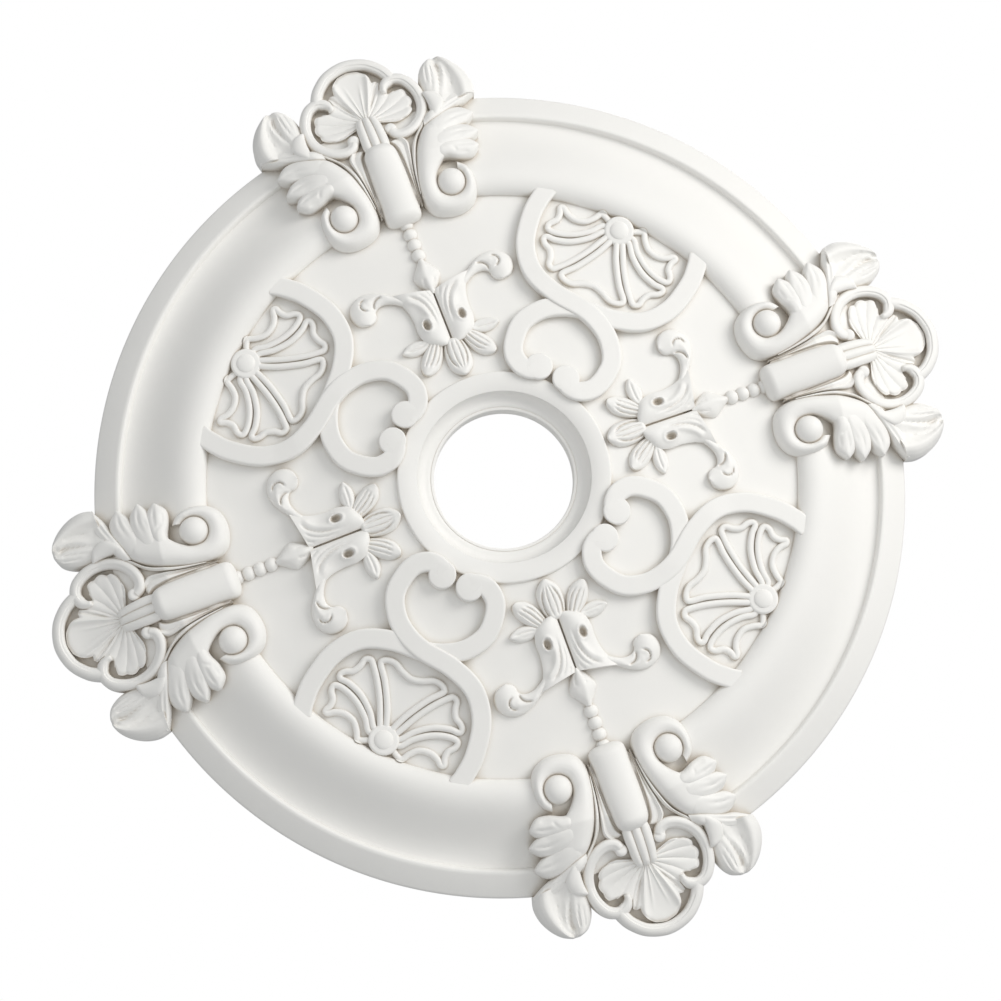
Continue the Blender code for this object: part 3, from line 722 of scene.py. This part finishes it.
class RosePendants(bpy.types.Operator):
    """Hang beads, a bud, a two-lobed leaf with its scrolled arms and its petals below each cartouche"""

    bl_idname = "rose.pendants"
    bl_label = "Pendants"

    def execute(self, context):
        radius = context.scene.rose_sizes.bead_radius / MM
        bm = bmesh.new()
        for out in (205.0, 196.3, 187.6, 178.8):
            low = ground(0.0, out)
            dome(bm, (0.0, out), radius, low, low + radius + 0.4)
        self.bud(bm)
        for sign in (1, -1):
            self.lobe(bm, sign)
            self.arm(bm, sign)
        self.petals(bm)
        finish_copies(bm, "pendant", 0.0)
        return {"FINISHED"}

    def bud(self, bm):
        """Three soft facets that meet in ridges, pointed at both ends."""
        edge = [(2.0, 175.2), (3.6, 172.2), (7.2, 167.4), (10.2, 162.0), (8.2, 156.0), (5.6, 151.4),
                (1.4, 146.6)]
        strokes = [
            stroke([(0.6, 173.0), (-1.2, 165.0), (-0.8, 156.0), (0.4, 149.0)], 2.2, 0.7),
            stroke([(-3.0, 160.0), (-3.8, 154.0), (-1.6, 149.0)], 0.8, -1.0),
            stroke([(4.2, 160.0), (3.8, 154.0), (1.4, 149.0)], 0.8, -1.0),
        ]

        def height(u, v, x, y):
            swell = 0.42 + 0.58 * math.sin(math.pi * (0.05 + 0.84 * u)) ** 0.8
            body = 7.0 * swell * (1 - abs(2 * v - 1) ** 2.1) ** 0.7
            return ground(x, y) + PENDANT_FOOT + body + carved(x, y, strokes)

        leaf(bm, side(edge, -1), edge, 1, 8, 24, height, in_field)

    def lobe(self, bm, sign):
        """Half of the two-lobed leaf, with folds beside the groove and a drilled pit."""
        eye = (13.4, 124.3)
        inner = [(0.5, 149.2), (0.7, 141.0), (0.7, 132.0), (0.7, 122.0), (0.7, 112.0), (0.6, 105.4)]
        outer = [(30.5, 155.0), (23.6, 143.0), (21.2, 131.0), (21.2, 121.0), (18.4, 112.0), (11.0, 106.6)]
        strokes = [
            stroke([(19.5, 150.0), (13.4, 146.0), (9.0, 139.0), (6.8, 130.0), (6.0, 119.0)], 1.0, -1.7),
            stroke([(11.5, 149.5), (7.0, 144.0), (4.2, 136.0), (3.4, 125.0)], 0.8, -1.1),
            stroke([(22.0, 147.4), (15.4, 142.0), (11.2, 135.0), (8.6, 126.0)], 1.7, 1.3),
            stroke([(6.0, 150.0), (4.6, 147.6), (3.2, 144.0)], 0.7, -0.9),
        ]

        def height(u, v, x, y):
            body = 8.6 * math.sin(math.pi * (0.07 + 0.87 * v)) ** 0.55
            low_end = 0.5 + 0.5 * math.sqrt(eased((1.0 - u) / 0.3))
            hollow = 2.6 * math.exp(-(((x * sign - 16.0) / 6.0) ** 2 + ((y - 136.0) / 10.0) ** 2))
            far = math.hypot((x * sign - eye[0]) / 3.3, (y - eye[1]) / 4.6)
            rim = 0.8 * math.exp(-((far - 1.15) / 0.3) ** 2)
            drilled = pit(x * sign, y, eye, (2.5, 3.8), 6.5)
            relief = body * low_end - hollow + rim - drilled + carved(x * sign, y, strokes)
            return ground(x, y) + PENDANT_FOOT + relief

        leaf(bm, inner, outer, sign, 16, 40, height, in_field)

    def arm(self, bm, sign):
        """The arm that rises from the lobe and rolls up in a volute with two crescent grooves."""
        upper = [(14.0, 150.0), (24.0, 152.4), (30.0, 156.2), (37.0, 161.0), (44.5, 163.9), (52.0, 163.9),
                 (59.0, 160.4), (63.2, 153.6), (62.6, 146.6), (58.4, 141.6), (52.4, 140.2)]
        lower = [(17.0, 140.0), (24.4, 145.4), (30.0, 149.2), (35.4, 151.2), (40.0, 151.2), (43.4, 149.6),
                 (44.8, 147.4), (45.0, 145.2), (46.0, 143.0), (48.0, 141.2), (50.6, 140.2)]
        strokes = [
            stroke([(48.6, 160.4), (52.8, 158.2), (53.8, 154.4), (52.0, 151.6), (48.8, 151.0)], 0.75, -2.4),
            stroke([(36.6, 158.0), (41.4, 156.8), (44.4, 153.4), (44.8, 149.2)], 0.85, -2.4),
            stroke([(31.0, 155.0), (38.0, 158.6), (46.0, 158.2), (49.0, 154.6)], 1.6, 0.8),
        ]

        def height(u, v, x, y):
            knob = 1.6 * math.exp(-((math.hypot(x * sign - 54.0, y - 151.5)) / 8.0) ** 2)
            body = (5.4 - 0.4 * u) * round_off(v) ** 0.65 + knob * round_off(v)
            return ground(x, y) + PENDANT_FOOT + body + carved(x * sign, y, strokes)

        leaf(bm, upper, lower, sign, 10, 26, height, in_field)

    def petals(self, bm):
        """Five grooved petals in a fan below the lobes."""

        def blade(rise, strokes, sign=1):
            def height(u, v, x, y):
                whole = math.sqrt(eased(u / 0.12 + 0.3)) * math.sqrt(eased((1 - u) / 0.22 + 0.25))
                full = rise * (1 - abs(2 * v - 1) ** 2.6) ** 0.6 * whole
                return ground(x, y) + PENDANT_FOOT + full + carved(x * sign, y, strokes)
            return height

        grooves = [
            stroke([(-4.6, 108.0), (-6.2, 100.0), (-5.6, 92.0), (-2.4, 85.0)], 0.75, -2.2),
            stroke([(4.6, 108.0), (6.2, 100.0), (5.6, 92.0), (2.4, 85.0)], 0.75, -2.2),
            stroke([(-1.5, 108.0), (-2.2, 100.0), (-1.8, 91.0), (-0.6, 84.0)], 0.6, -1.3),
            stroke([(1.5, 108.0), (2.2, 100.0), (1.8, 91.0), (0.6, 84.0)], 0.6, -1.3),
        ]
        edge = [(5.8, 110.0), (8.6, 102.0), (9.6, 94.0), (8.2, 86.4), (4.0, 81.4), (0.8, 79.6)]
        leaf(bm, side(edge, -1), edge, 1, 11, 44, blade(5.6, grooves), in_field)
        grooves = [
            stroke([(8.8, 110.0), (11.6, 103.0), (15.6, 96.6), (20.6, 92.4)], 0.65, -1.6),
            stroke([(11.0, 110.5), (15.0, 103.5), (19.4, 97.6), (23.6, 93.6)], 0.65, -1.6),
            stroke([(13.4, 111.0), (18.4, 105.0), (22.8, 99.0), (25.8, 95.0)], 0.65, -1.3),
        ]
        inner = [(6.4, 111.0), (8.8, 103.0), (12.2, 95.6), (17.2, 90.2), (22.6, 88.2), (26.0, 88.6)]
        outer = [(14.8, 113.0), (20.4, 108.6), (25.2, 103.2), (28.4, 97.0), (28.8, 91.6), (27.2, 89.2)]
        for sign in (1, -1):
            leaf(bm, inner, outer, sign, 10, 32, blade(5.0, grooves, sign), in_field)
        grooves = [
            stroke([(18.0, 111.6), (24.0, 110.6), (30.0, 110.4), (34.6, 110.8)], 0.8, -1.1),
            stroke([(20.0, 113.6), (25.0, 113.8), (30.0, 113.4)], 0.6, -0.6),
        ]
        inner = [(15.6, 110.6), (19.6, 107.4), (25.0, 105.8), (31.0, 106.2), (35.4, 108.4), (37.4, 110.2)]
        outer = [(16.0, 113.6), (20.0, 116.0), (25.6, 117.0), (31.4, 116.0), (35.6, 113.2), (37.4, 111.4)]
        for sign in (1, -1):
            leaf(bm, inner, outer, sign, 8, 24, blade(4.0, grooves, sign), in_field)


class RoseCartouches(bpy.types.Operator):
    """Build the barrel, collar, framed fan, scrolls, balls, leaves and ears over the border, four times"""

    bl_idname = "rose.cartouches"
    bl_label = "Cartouches"

    def execute(self, context):
        sizes = context.scene.rose_sizes
        bm = bmesh.new()
        self.barrel(bm)
        self.collar(bm)
        self.bed(bm)
        self.fan_frame(bm, sizes.frame_width / MM, sizes.frame_height / MM)
        self.fan(bm)
        for sign in (1, -1):
            self.scroll(bm, sign, sizes.ball_radius / MM)
            self.side_leaves(bm, sign)
            self.round_leaf(bm, sign)
            self.ear(bm, sign)
            self.darts(bm, sign)
        finish_copies(bm, "cartouche", 0.0)
        return {"FINISHED"}

    def barrel(self, bm):
        """A plain swelling shaft, rounded off at both ends."""
        edge = [(2.0, 269.2), (8.2, 267.6), (12.2, 261.6), (13.6, 249.0), (13.9, 235.0), (13.8, 222.0),
                (14.0, 213.0), (12.9, 207.6), (8.4, 204.6), (1.0, 203.8)]
        top = 269.6
        foot = 203.6
        end_round = 9.0
        side_height = 32.0
        rise = 14.5

        def rounded(far):
            return math.sqrt(1 - (1 - min(max(far / end_round, 0.0), 1.0)) ** 2)

        def height(u, v, x, y):
            return side_height + rise * round_off(v) ** 0.6 * rounded(top - y) * rounded(y - foot)

        leaf(bm, side(edge, -1), edge, 1, 11, 34, height, at_back())

    def collar(self, bm):
        """Three reeds that bulge over the foot of the fan."""
        edge = [(9.0, 262.0), (10.2, 270.0), (10.0, 279.0), (9.2, 288.0), (7.6, 295.0)]
        reeds = 3
        reed_rise = 3.0

        def height(u, v, x, y):
            reed = reed_rise * abs(math.sin(reeds * math.pi * v)) ** 0.5
            bulge = 2.2 * math.sin(math.pi * u) - 1.8 * eased((u - 0.88) / 0.12)
            return drape(x, y) + 5.4 + bulge + reed - 1.8 * (2 * v - 1) ** 2

        leaf(bm, side(edge, -1), edge, 1, 11, 54, height, at_back())

    def fan_frame(self, bm, width, rise):
        """The roll round the fan: a crown over two sides that hook in at their heads and their feet."""
        crown = [(-29.6, 318.4), (-28.4, 323.6), (-23.8, 331.0), (-14.4, 338.8), (0.0, 342.4),
                 (14.4, 338.8), (23.8, 331.0), (28.4, 323.6), (29.6, 318.4)]

        def roll(inner, start):
            def height(u, v, x, y):
                w = v if inner > 0 else 1 - v
                line = 0.9 * math.exp(-((w - 0.72) / 0.05) ** 2) * eased((u - 0.06) / 0.06)
                ends = math.sqrt(eased(u / start + 0.2)) if start else 1.0
                return drape(x, y) + rise * (0.15 + 0.85 * round_off(w) ** 0.75) * ends - line
            return height

        strap(bm, crown, width + 0.6, 130, 16, roll(1, 0.0), at_back())
        run = [(21.0, 309.0), (21.4, 313.6), (24.6, 317.6), (30.6, 319.6), (37.6, 316.6), (42.6, 309.0),
               (44.8, 299.6), (43.6, 289.4), (39.0, 280.8), (31.4, 274.6), (23.6, 272.2), (17.6, 273.6),
               (15.0, 277.6)]
        foot = (14.6, 278.6)
        foot_radius = 4.7
        foot_top = drape(13.6, 279.5) + rise - 0.2
        for sign in (1, -1):
            strap(bm, side(run, sign), width, 120, 16, roll(sign, 0.03), at_back(0.08), start=0.5)
            disc(bm, (foot[0] * sign, foot[1]), foot_radius, lambda x, y: foot_top, at_back(0.12), soft=3.0)
        left = [(-44.0, 284.0), (-45.5, 300.0), (-38.0, 316.0), (-27.0, 325.0), (-14.0, 339.0)]

        def web(u, v, x, y):
            return max(3.5, drape(x, y) - 2.5)

        leaf(bm, left, side(left, -1), 1, 6, 20, web, at_back(0.04))

    def bed(self, bm):
        """The ground between the ornaments, just below them."""
        left = [(-10.5, 208.5), (-17.0, 219.0), (-24.0, 230.0), (-40.0, 244.0), (-50.0, 258.0),
                (-48.0, 272.0), (-41.0, 288.0)]
        leaf(bm, left, side(left, -1), 1, 7, 34, lambda u, v, x, y: bed_height(x, y) + 0.6, at_back(0.5))

    def fan(self, bm):
        """The fan in the frame, by angle from the axis: a cupped middle lobe and ribbed side lobes."""
        edge = ((-112.0, 22.0), (-102.0, 32.0), (-93.0, 36.2), (-83.0, 38.6), (-72.0, 39.6), (-63.0, 38.6),
                (-58.0, 34.5), (-54.0, 29.0), (-47.0, 29.4), (-43.0, 33.0), (-39.0, 30.6), (-35.0, 35.0),
                (-31.0, 35.6), (-26.5, 33.6), (-23.0, 37.6), (-18.0, 41.0), (-10.5, 44.2), (0.0, 45.4))
        turns = 230
        spread = 112.0
        cup_angle = 27.0
        side_angle = 58.0
        hub_radius = 1.2
        hub_out = 291.0
        fan_out = 292.0
        hub = []
        outline = []
        for i in range(turns + 1):
            angle = -spread + 2 * spread * i / turns
            reach = between(-abs(angle), edge)
            if abs(angle) > side_angle:
                reach -= 1.5 * (1 - abs(math.sin(math.radians(abs(angle) - side_angle) * 12.0)))
            s = math.sin(math.radians(angle))
            c = math.cos(math.radians(angle))
            hub.append((hub_radius * s, hub_out + hub_radius * c))
            outline.append((reach * s, fan_out + reach * c))

        def height(u, v, x, y):
            angle = abs(spread * (2 * u - 1))
            bowl = 5.4 - 4.6 * v + 3.6 * v * v
            if angle < cup_angle:
                cup = 1.5 * math.cos(0.5 * math.pi * angle / cup_angle) * eased((v - 0.2) / 0.6)
                flute = 0.8 * math.exp(-((angle - 8.0 - 3.0 * v) / 2.2) ** 2) * eased((0.85 - v) / 0.4)
                relief = flute - cup
            else:
                wave = abs(math.sin(math.radians(angle - cup_angle + 5.0 * v * v) * 11.0)) ** 0.6
                relief = -1.2 * (1 - wave) * min(1.0, 0.5 + v)
            rib = 2.0 * math.exp(-((angle - cup_angle + 7.0 * v) / (3.4 + 3.0 * (1 - v))) ** 2)
            rib *= eased((v - 0.1) / 0.25)
            crease = 1.8 * math.exp(-((angle - 33.0) / 2.6) ** 2) * eased((v - 0.2) / 0.3)
            return drape(x, y) + bowl + relief + rib - crease - 1.3 * eased((v - 0.93) / 0.07)

        sheet(bm, hub, outline, 28, height, at_back())

    def scroll(self, bm, sign, ball):
        """A broad roll that runs down from the leaves and turns round the ball."""
        eye = (42.2, 222.8)
        eye_radius = 9.9
        ball_foot = 37.5
        top = 38.0
        outer = [(41.6, 277.5), (33.0, 268.0), (25.6, 256.0), (20.6, 242.0), (17.6, 228.0), (17.4, 214.0),
                 (22.5, 204.2), (31.5, 199.6), (42.2, 198.6), (51.6, 202.0), (57.8, 210.0), (59.8, 221.0),
                 (57.6, 231.0), (51.6, 237.2)]
        inner = [(59.0, 278.0), (57.6, 267.0), (55.0, 256.0), (48.6, 246.6), (39.6, 239.0), (33.4, 230.0),
                 *arc(eye, (eye_radius, eye_radius), 190.0, 400.0, 7)]
        broad = ((0.0, 0.0), (0.05, 0.42), (0.13, 0.72), (0.24, 0.92), (0.36, 1.0), (0.5, 0.99),
                 (0.66, 0.93), (0.82, 0.84), (0.93, 0.75), (1.0, 0.64))
        ring = ((0.0, 0.0), (0.06, 0.42), (0.16, 0.72), (0.3, 0.92), (0.46, 1.0), (0.62, 0.97),
                (0.78, 0.86), (0.9, 0.70), (1.0, 0.42))

        def height(u, v, x, y):
            turn = eased((u - 0.22) / 0.26)
            shape = between(v, broad) * (1 - turn) + between(v, ring) * turn
            shape -= 0.12 * eased((v - 0.7) / 0.3) * eased((0.3 - u) / 0.25)
            full = (11.6 - 2.6 * u - 3.0 * eased((u - 0.9) / 0.1)) * math.sqrt(eased(u / 0.1 + 0.12))
            return min(drape(x, y), top) - 1.2 + full * shape

        leaf(bm, outer, inner, sign, 12, 26, height, at_back())
        dome(bm, (eye[0] * sign, eye[1]), ball - 0.2, ball_foot, ball_foot + ball - 0.6, 56)

    def lobe(self, bm, sign, upper, lower, rise, strokes, gap):
        """One pointed lobe of a leaf, its root sunk into the scroll."""
        strokes = [stroke(*args) for args in strokes]

        def height(u, v, x, y):
            root = 3.4 * (1 - eased(u / 0.22)) - 1.6 * (1 - eased((u - 0.28) / 0.34))
            fall = 3.6 * u * u + root
            full = rise * (1 - abs(2 * v - 1) ** 3.0) ** 0.6 * (1 - 0.3 * u ** 3)
            fold = carved(x * sign, y, strokes) * eased((u - 0.3) / 0.3)
            return drape(x, y) + 0.8 - fall + full + fold

        leaf(bm, upper, lower, sign, 13, 26, height, at_back(gap))

    def side_leaves(self, bm, sign):
        """A long pointed leaf over the lip and three lobes below it, with folds that run to the scroll.

        Each has its upper and lower edge, its rise, its strokes and its underside's height off the back.
        """
        lobes = (
            ([(40.5, 279.5), (48.0, 284.0), (59.0, 289.6), (72.0, 293.2), (84.4, 291.0)],
             [(38.5, 270.5), (50.0, 274.4), (61.0, 278.4), (73.0, 282.2), (85.2, 288.6)], 8.4,
             [([(42.0, 273.5), (54.0, 279.6), (66.0, 284.8), (79.0, 288.2)], 1.1, -1.2),
              ([(45.0, 278.5), (56.0, 284.2), (66.0, 288.4), (76.0, 290.4)], 1.0, -0.7),
              ([(48.0, 273.5), (58.0, 277.3), (68.0, 281.6), (77.0, 285.4)], 1.0, -0.9)], 0.1),
            ([(37.0, 271.5), (47.0, 277.0), (60.0, 281.6), (70.4, 279.6), (77.4, 272.6)],
             [(35.5, 257.0), (48.0, 259.4), (60.0, 262.4), (69.6, 264.8), (77.0, 269.8)], 7.6,
             [([(40.0, 262.0), (52.0, 268.0), (64.0, 271.8), (74.4, 271.6)], 1.1, -1.1),
              ([(44.0, 269.0), (54.0, 274.4), (64.0, 277.2), (72.0, 276.0)], 1.0, -0.7),
              ([(42.0, 257.4), (53.0, 263.0), (63.0, 266.8), (72.0, 268.6)], 1.0, -0.7),
              ([(48.0, 260.4), (53.0, 262.0), (57.0, 262.8)], 1.0, -2.4)], 0.26),
            ([(34.0, 260.5), (46.0, 265.0), (59.0, 266.8), (69.4, 263.6), (75.8, 256.6)],
             [(34.5, 247.0), (48.0, 249.0), (59.0, 248.6), (68.6, 250.2), (75.4, 254.0)], 7.4,
             [([(40.0, 252.4), (52.0, 257.0), (63.0, 258.4), (72.6, 256.0)], 1.1, -1.1),
              ([(42.0, 257.0), (53.0, 261.6), (63.0, 262.6), (70.6, 260.0)], 1.0, -0.7),
              ([(44.0, 249.6), (54.0, 253.2), (64.0, 254.2)], 1.0, -0.6)], 0.3),
            ([(34.0, 250.0), (46.0, 254.0), (58.0, 255.4), (66.6, 251.6), (71.4, 245.6)],
             [(37.0, 242.0), (46.0, 241.6), (55.6, 237.4), (64.4, 236.8), (71.2, 242.4)], 7.0,
             [([(44.0, 247.4), (54.0, 247.8), (62.0, 246.8), (68.6, 244.4)], 1.1, -1.1),
              ([(50.0, 243.4), (57.0, 241.4), (63.4, 240.2)], 1.0, -0.8),
              ([(48.0, 250.4), (52.0, 247.0), (54.0, 243.0)], 1.1, -2.6)], 0.34),
        )
        for lobe in lobes:
            self.lobe(bm, sign, *lobe)

    def round_leaf(self, bm, sign):
        """The D-shaped leaf between the frame and the ear."""
        inner = [(46.4, 300.0), (47.6, 292.0), (47.4, 283.0), (46.4, 274.6)]
        outer = [(48.0, 300.4), (57.4, 296.6), (60.0, 286.0), (50.4, 274.8)]

        def height(u, v, x, y):
            return drape(x, y) + 1.0 + 10.6 * round_off(v) ** 0.4 * (1 - abs(2 * u - 1) ** 5) ** 0.5

        leaf(bm, inner, outer, sign, 14, 20, height, at_back(0.14))

    def ear(self, bm, sign):
        """A broad leaf curled like an ear, with a hollow inside its rim and folds that meet at its top."""
        inner = [(46.0, 285.0), (46.6, 297.0), (47.8, 308.0), (50.6, 316.6), (55.4, 323.0), (62.0, 325.8)]
        outer = [(85.0, 288.0), (87.0, 296.5), (85.6, 306.0), (81.0, 315.2), (74.6, 322.2), (68.0, 325.6)]
        shape = ((0.0, 1.0), (0.04, 4.6), (0.12, 7.8), (0.24, 9.2), (0.34, 8.6), (0.41, 6.6), (0.5, 5.0),
                 (0.6, 5.0), (0.68, 6.8), (0.75, 9.2), (0.81, 9.6), (0.88, 8.0), (0.95, 4.6), (1.0, 0.5))
        strokes = [
            stroke([(63.6, 321.6), (65.2, 316.0), (63.4, 308.0), (60.0, 297.0), (57.0, 287.0)], 1.3, -1.9),
            stroke([(67.0, 321.6), (68.6, 315.0), (67.2, 307.0), (63.8, 296.0)], 1.7, 1.7),
            stroke([(60.2, 320.0), (59.4, 314.0), (57.4, 306.0), (55.0, 297.0)], 0.8, -1.0),
            stroke([(57.0, 321.0), (55.0, 313.0), (53.6, 305.0)], 0.8, -0.7),
            stroke([(72.0, 316.0), (72.4, 306.0), (69.0, 295.0)], 0.8, -0.8),
        ]

        def height(u, v, x, y):
            tip = math.sqrt(eased((1 - u) / 0.2 + 0.2))
            return drape(x, y) + between(v, shape) * (1 - 0.16 * u) * tip + carved(x * sign, y, strokes)

        leaf(bm, inner, outer, sign, 14, 48, height, at_back(0.18))

    def darts(self, bm, sign):
        """The cupped leaf beside the barrel and the long blade between it and the scroll."""
        inner = [(9.0, 268.6), (12.6, 263.6), (14.4, 254.0), (15.0, 242.0), (15.2, 228.0), (15.4, 214.0)]
        outer = [(19.0, 272.0), (23.4, 264.6), (21.8, 254.0), (19.2, 242.0), (17.2, 228.0), (16.4, 214.0)]
        cup = ((0.0, 1.0), (0.15, 4.4), (0.35, 4.6), (0.6, 3.4), (0.82, 6.0), (0.93, 5.0), (1.0, 1.5))

        def cup_height(u, v, x, y):
            tip = math.sqrt(eased(u / 0.12 + 0.35))
            return bed_height(x, y) + between(v, cup) * (1 - 0.35 * u) * tip

        leaf(bm, inner, outer, sign, 12, 18, cup_height, at_back(0.22))
        inner = [(46.6, 286.0), (35.0, 273.0), (26.0, 262.0), (21.6, 251.0), (18.8, 238.0), (17.0, 222.0)]
        outer = [(48.2, 285.6), (41.6, 275.6), (31.0, 264.6), (25.0, 252.0), (21.0, 238.0), (18.2, 222.0)]

        def blade_height(u, v, x, y):
            groove = 1.0 * math.exp(-((v - 0.36) / 0.1) ** 2) * eased((0.8 - u) / 0.3)
            full = 6.4 * round_off(v) ** 0.7 * (1 - 0.45 * u) * math.sqrt(eased(u / 0.14 + 0.1))
            return bed_height(x, y) + 1.0 + full - groove

        leaf(bm, inner, outer, sign, 12, 16, blade_height, at_back(0.4))


def as_seen(x, y, h):
    """A point so far right, up and towards the photograph's viewer, in metres from the face's middle."""
    turn = math.radians(VIEW_TURN)
    across = x * math.cos(turn) + y * math.sin(turn)
    up = -x * math.sin(turn) + y * math.cos(turn)
    return Vector((across, -up, -h - EYE_H * MM))


def lamp(name, place, target, size, power, colour):
    """A soft square light that isn't seen itself."""
    data = bpy.data.lights.new(name, "AREA")
    data.size = size
    data.energy = power
    data.color = colour
    obj = bpy.data.objects.new(name, data)
    obj.location = place
    obj.rotation_euler = (target - place).to_track_quat("-Z", "Y").to_euler()
    obj.visible_camera = False
    bpy.context.scene.collection.objects.link(obj)


class RoseStage(bpy.types.Operator):
    """Set the camera, the lights, the white surroundings and the floor"""

    bl_idname = "rose.stage"
    bl_label = "Studio"

    def execute(self, context):
        scene = context.scene
        studio = scene.rose_studio
        self.camera(scene)
        middle = as_seen(0.0, 0.0, 0.0)
        lamp("key", as_seen(*KEY_PLACE), middle, KEY_SIDE, studio.key_power, WARM)
        lamp("fill", as_seen(*FILL_PLACE), middle, FILL_SIDE, studio.fill_power, COOL)
        lamp("above", Vector(ABOVE_PLACE), Vector((0.0, 0.0, 0.0)), ABOVE_SIDE, studio.above_power, WHITE)
        self.surroundings(scene, studio.sky_strength)
        self.floor(scene, studio.floor_drop, studio.floor_glow)
        scene.view_settings.view_transform = "Standard"
        return {"FINISHED"}

    def camera(self, scene):
        """The camera where the photographer's was."""
        tilt = math.radians(VIEW_TILT)
        lean = math.radians(VIEW_LEAN)
        away = Vector((math.sin(tilt) * math.cos(lean), math.sin(tilt) * math.sin(lean), math.cos(tilt)))
        right = (-away).cross(Vector((0.0, 1.0, 0.0))).normalized()
        up = right.cross(-away)
        origin = as_seen(0.0, 0.0, 0.0)
        turned = Matrix([as_seen(*v) - origin for v in (right, up, away)]).transposed().to_4x4()
        data = bpy.data.cameras.new("camera")
        data.sensor_width = SENSOR_WIDTH
        data.lens = data.sensor_width * VIEW_LENS_PX / PHOTO_SIDE
        data.shift_x = (0.5 * PHOTO_SIDE - AXIS_PX[0]) / PHOTO_SIDE
        data.shift_y = (AXIS_PX[1] - 0.5 * PHOTO_SIDE) / PHOTO_SIDE
        data.clip_start = 0.05
        obj = bpy.data.objects.new("camera", data)
        obj.matrix_world = Matrix.Translation(as_seen(*(away * VIEW_DISTANCE))) @ turned
        scene.collection.objects.link(obj)
        scene.camera = obj

    def surroundings(self, scene, strength):
        """White all round as seen, and a softer light from all round."""
        world = bpy.data.worlds.new("surroundings")
        world.use_nodes = True
        nodes = world.node_tree.nodes
        links = world.node_tree.links
        light = nodes["Background"]
        light.inputs["Color"].default_value = (*SKY, 1.0)
        light.inputs["Strength"].default_value = strength
        seen = nodes.new("ShaderNodeBackground")
        seen.inputs["Color"].default_value = (*WHITE, 1.0)
        rays = nodes.new("ShaderNodeLightPath")
        mix = nodes.new("ShaderNodeMixShader")
        links.new(rays.outputs["Is Camera Ray"], mix.inputs["Fac"])
        links.new(light.outputs["Background"], mix.inputs[1])
        links.new(seen.outputs["Background"], mix.inputs[2])
        links.new(mix.outputs["Shader"], nodes["World Output"].inputs["Surface"])
        scene.world = world

    def floor(self, scene, drop, glow):
        """A plain pale floor, far below, that glows a little as a lit studio's does."""
        bm = bmesh.new()
        bmesh.ops.create_circle(bm, cap_ends=True, segments=96, radius=FLOOR_RADIUS)
        bmesh.ops.translate(bm, verts=bm.verts, vec=(0.0, 0.0, -drop))
        mesh = bpy.data.meshes.new("floor")
        bm.to_mesh(mesh)
        bm.free()
        mat = bpy.data.materials.new("pale_floor")
        mat.use_nodes = True
        shader = mat.node_tree.nodes["Principled BSDF"]
        shader.inputs["Base Color"].default_value = (*FLOOR_COLOUR, 1.0)
        shader.inputs["Roughness"].default_value = 0.9
        shader.inputs["Emission Color"].default_value = (*COOL, 1.0)
        shader.inputs["Emission Strength"].default_value = glow
        mesh.materials.append(mat)
        obj = bpy.data.objects.new("floor", mesh)
        scene.collection.objects.link(obj)


class RosePanel(bpy.types.Panel):
    """Sizes, finish and studio of the rose, with its pieces"""

    bl_idname = "VIEW3D_PT_ceiling_rose"
    bl_label = "Ceiling Rose"
    bl_space_type = "VIEW_3D"
    bl_region_type = "UI"
    bl_category = "Ceiling Rose"

    def draw(self, context):
        layout = self.layout
        for group in (context.scene.rose_sizes, context.scene.rose_finish, context.scene.rose_studio):
            box = layout.box()
            for name in group.__annotations__:
                box.prop(group, name)
        for operator in PIECES:
            layout.operator(operator.bl_idname)


PIECES = (RoseDisc, RoseKnots, RoseShells, RosePendants, RoseCartouches, RoseStage)
GROUPS = {"rose_sizes": RoseSizes, "rose_finish": RoseFinish, "rose_studio": RoseStudio}


def register():
    for cls in (*GROUPS.values(), *PIECES, RosePanel):
        bpy.utils.register_class(cls)
    for name, cls in GROUPS.items():
        setattr(bpy.types.Scene, name, PointerProperty(type=cls))


def unregister():
    for name in GROUPS:
        delattr(bpy.types.Scene, name)
    for cls in reversed((*GROUPS.values(), *PIECES, RosePanel)):
        bpy.utils.unregister_class(cls)


def main():
    register()
    bpy.ops.rose.disc()
    bpy.ops.rose.knots()
    bpy.ops.rose.shells()
    bpy.ops.rose.pendants()
    bpy.ops.rose.cartouches()
    bpy.ops.rose.stage()


if __name__ == "__main__":
    main()
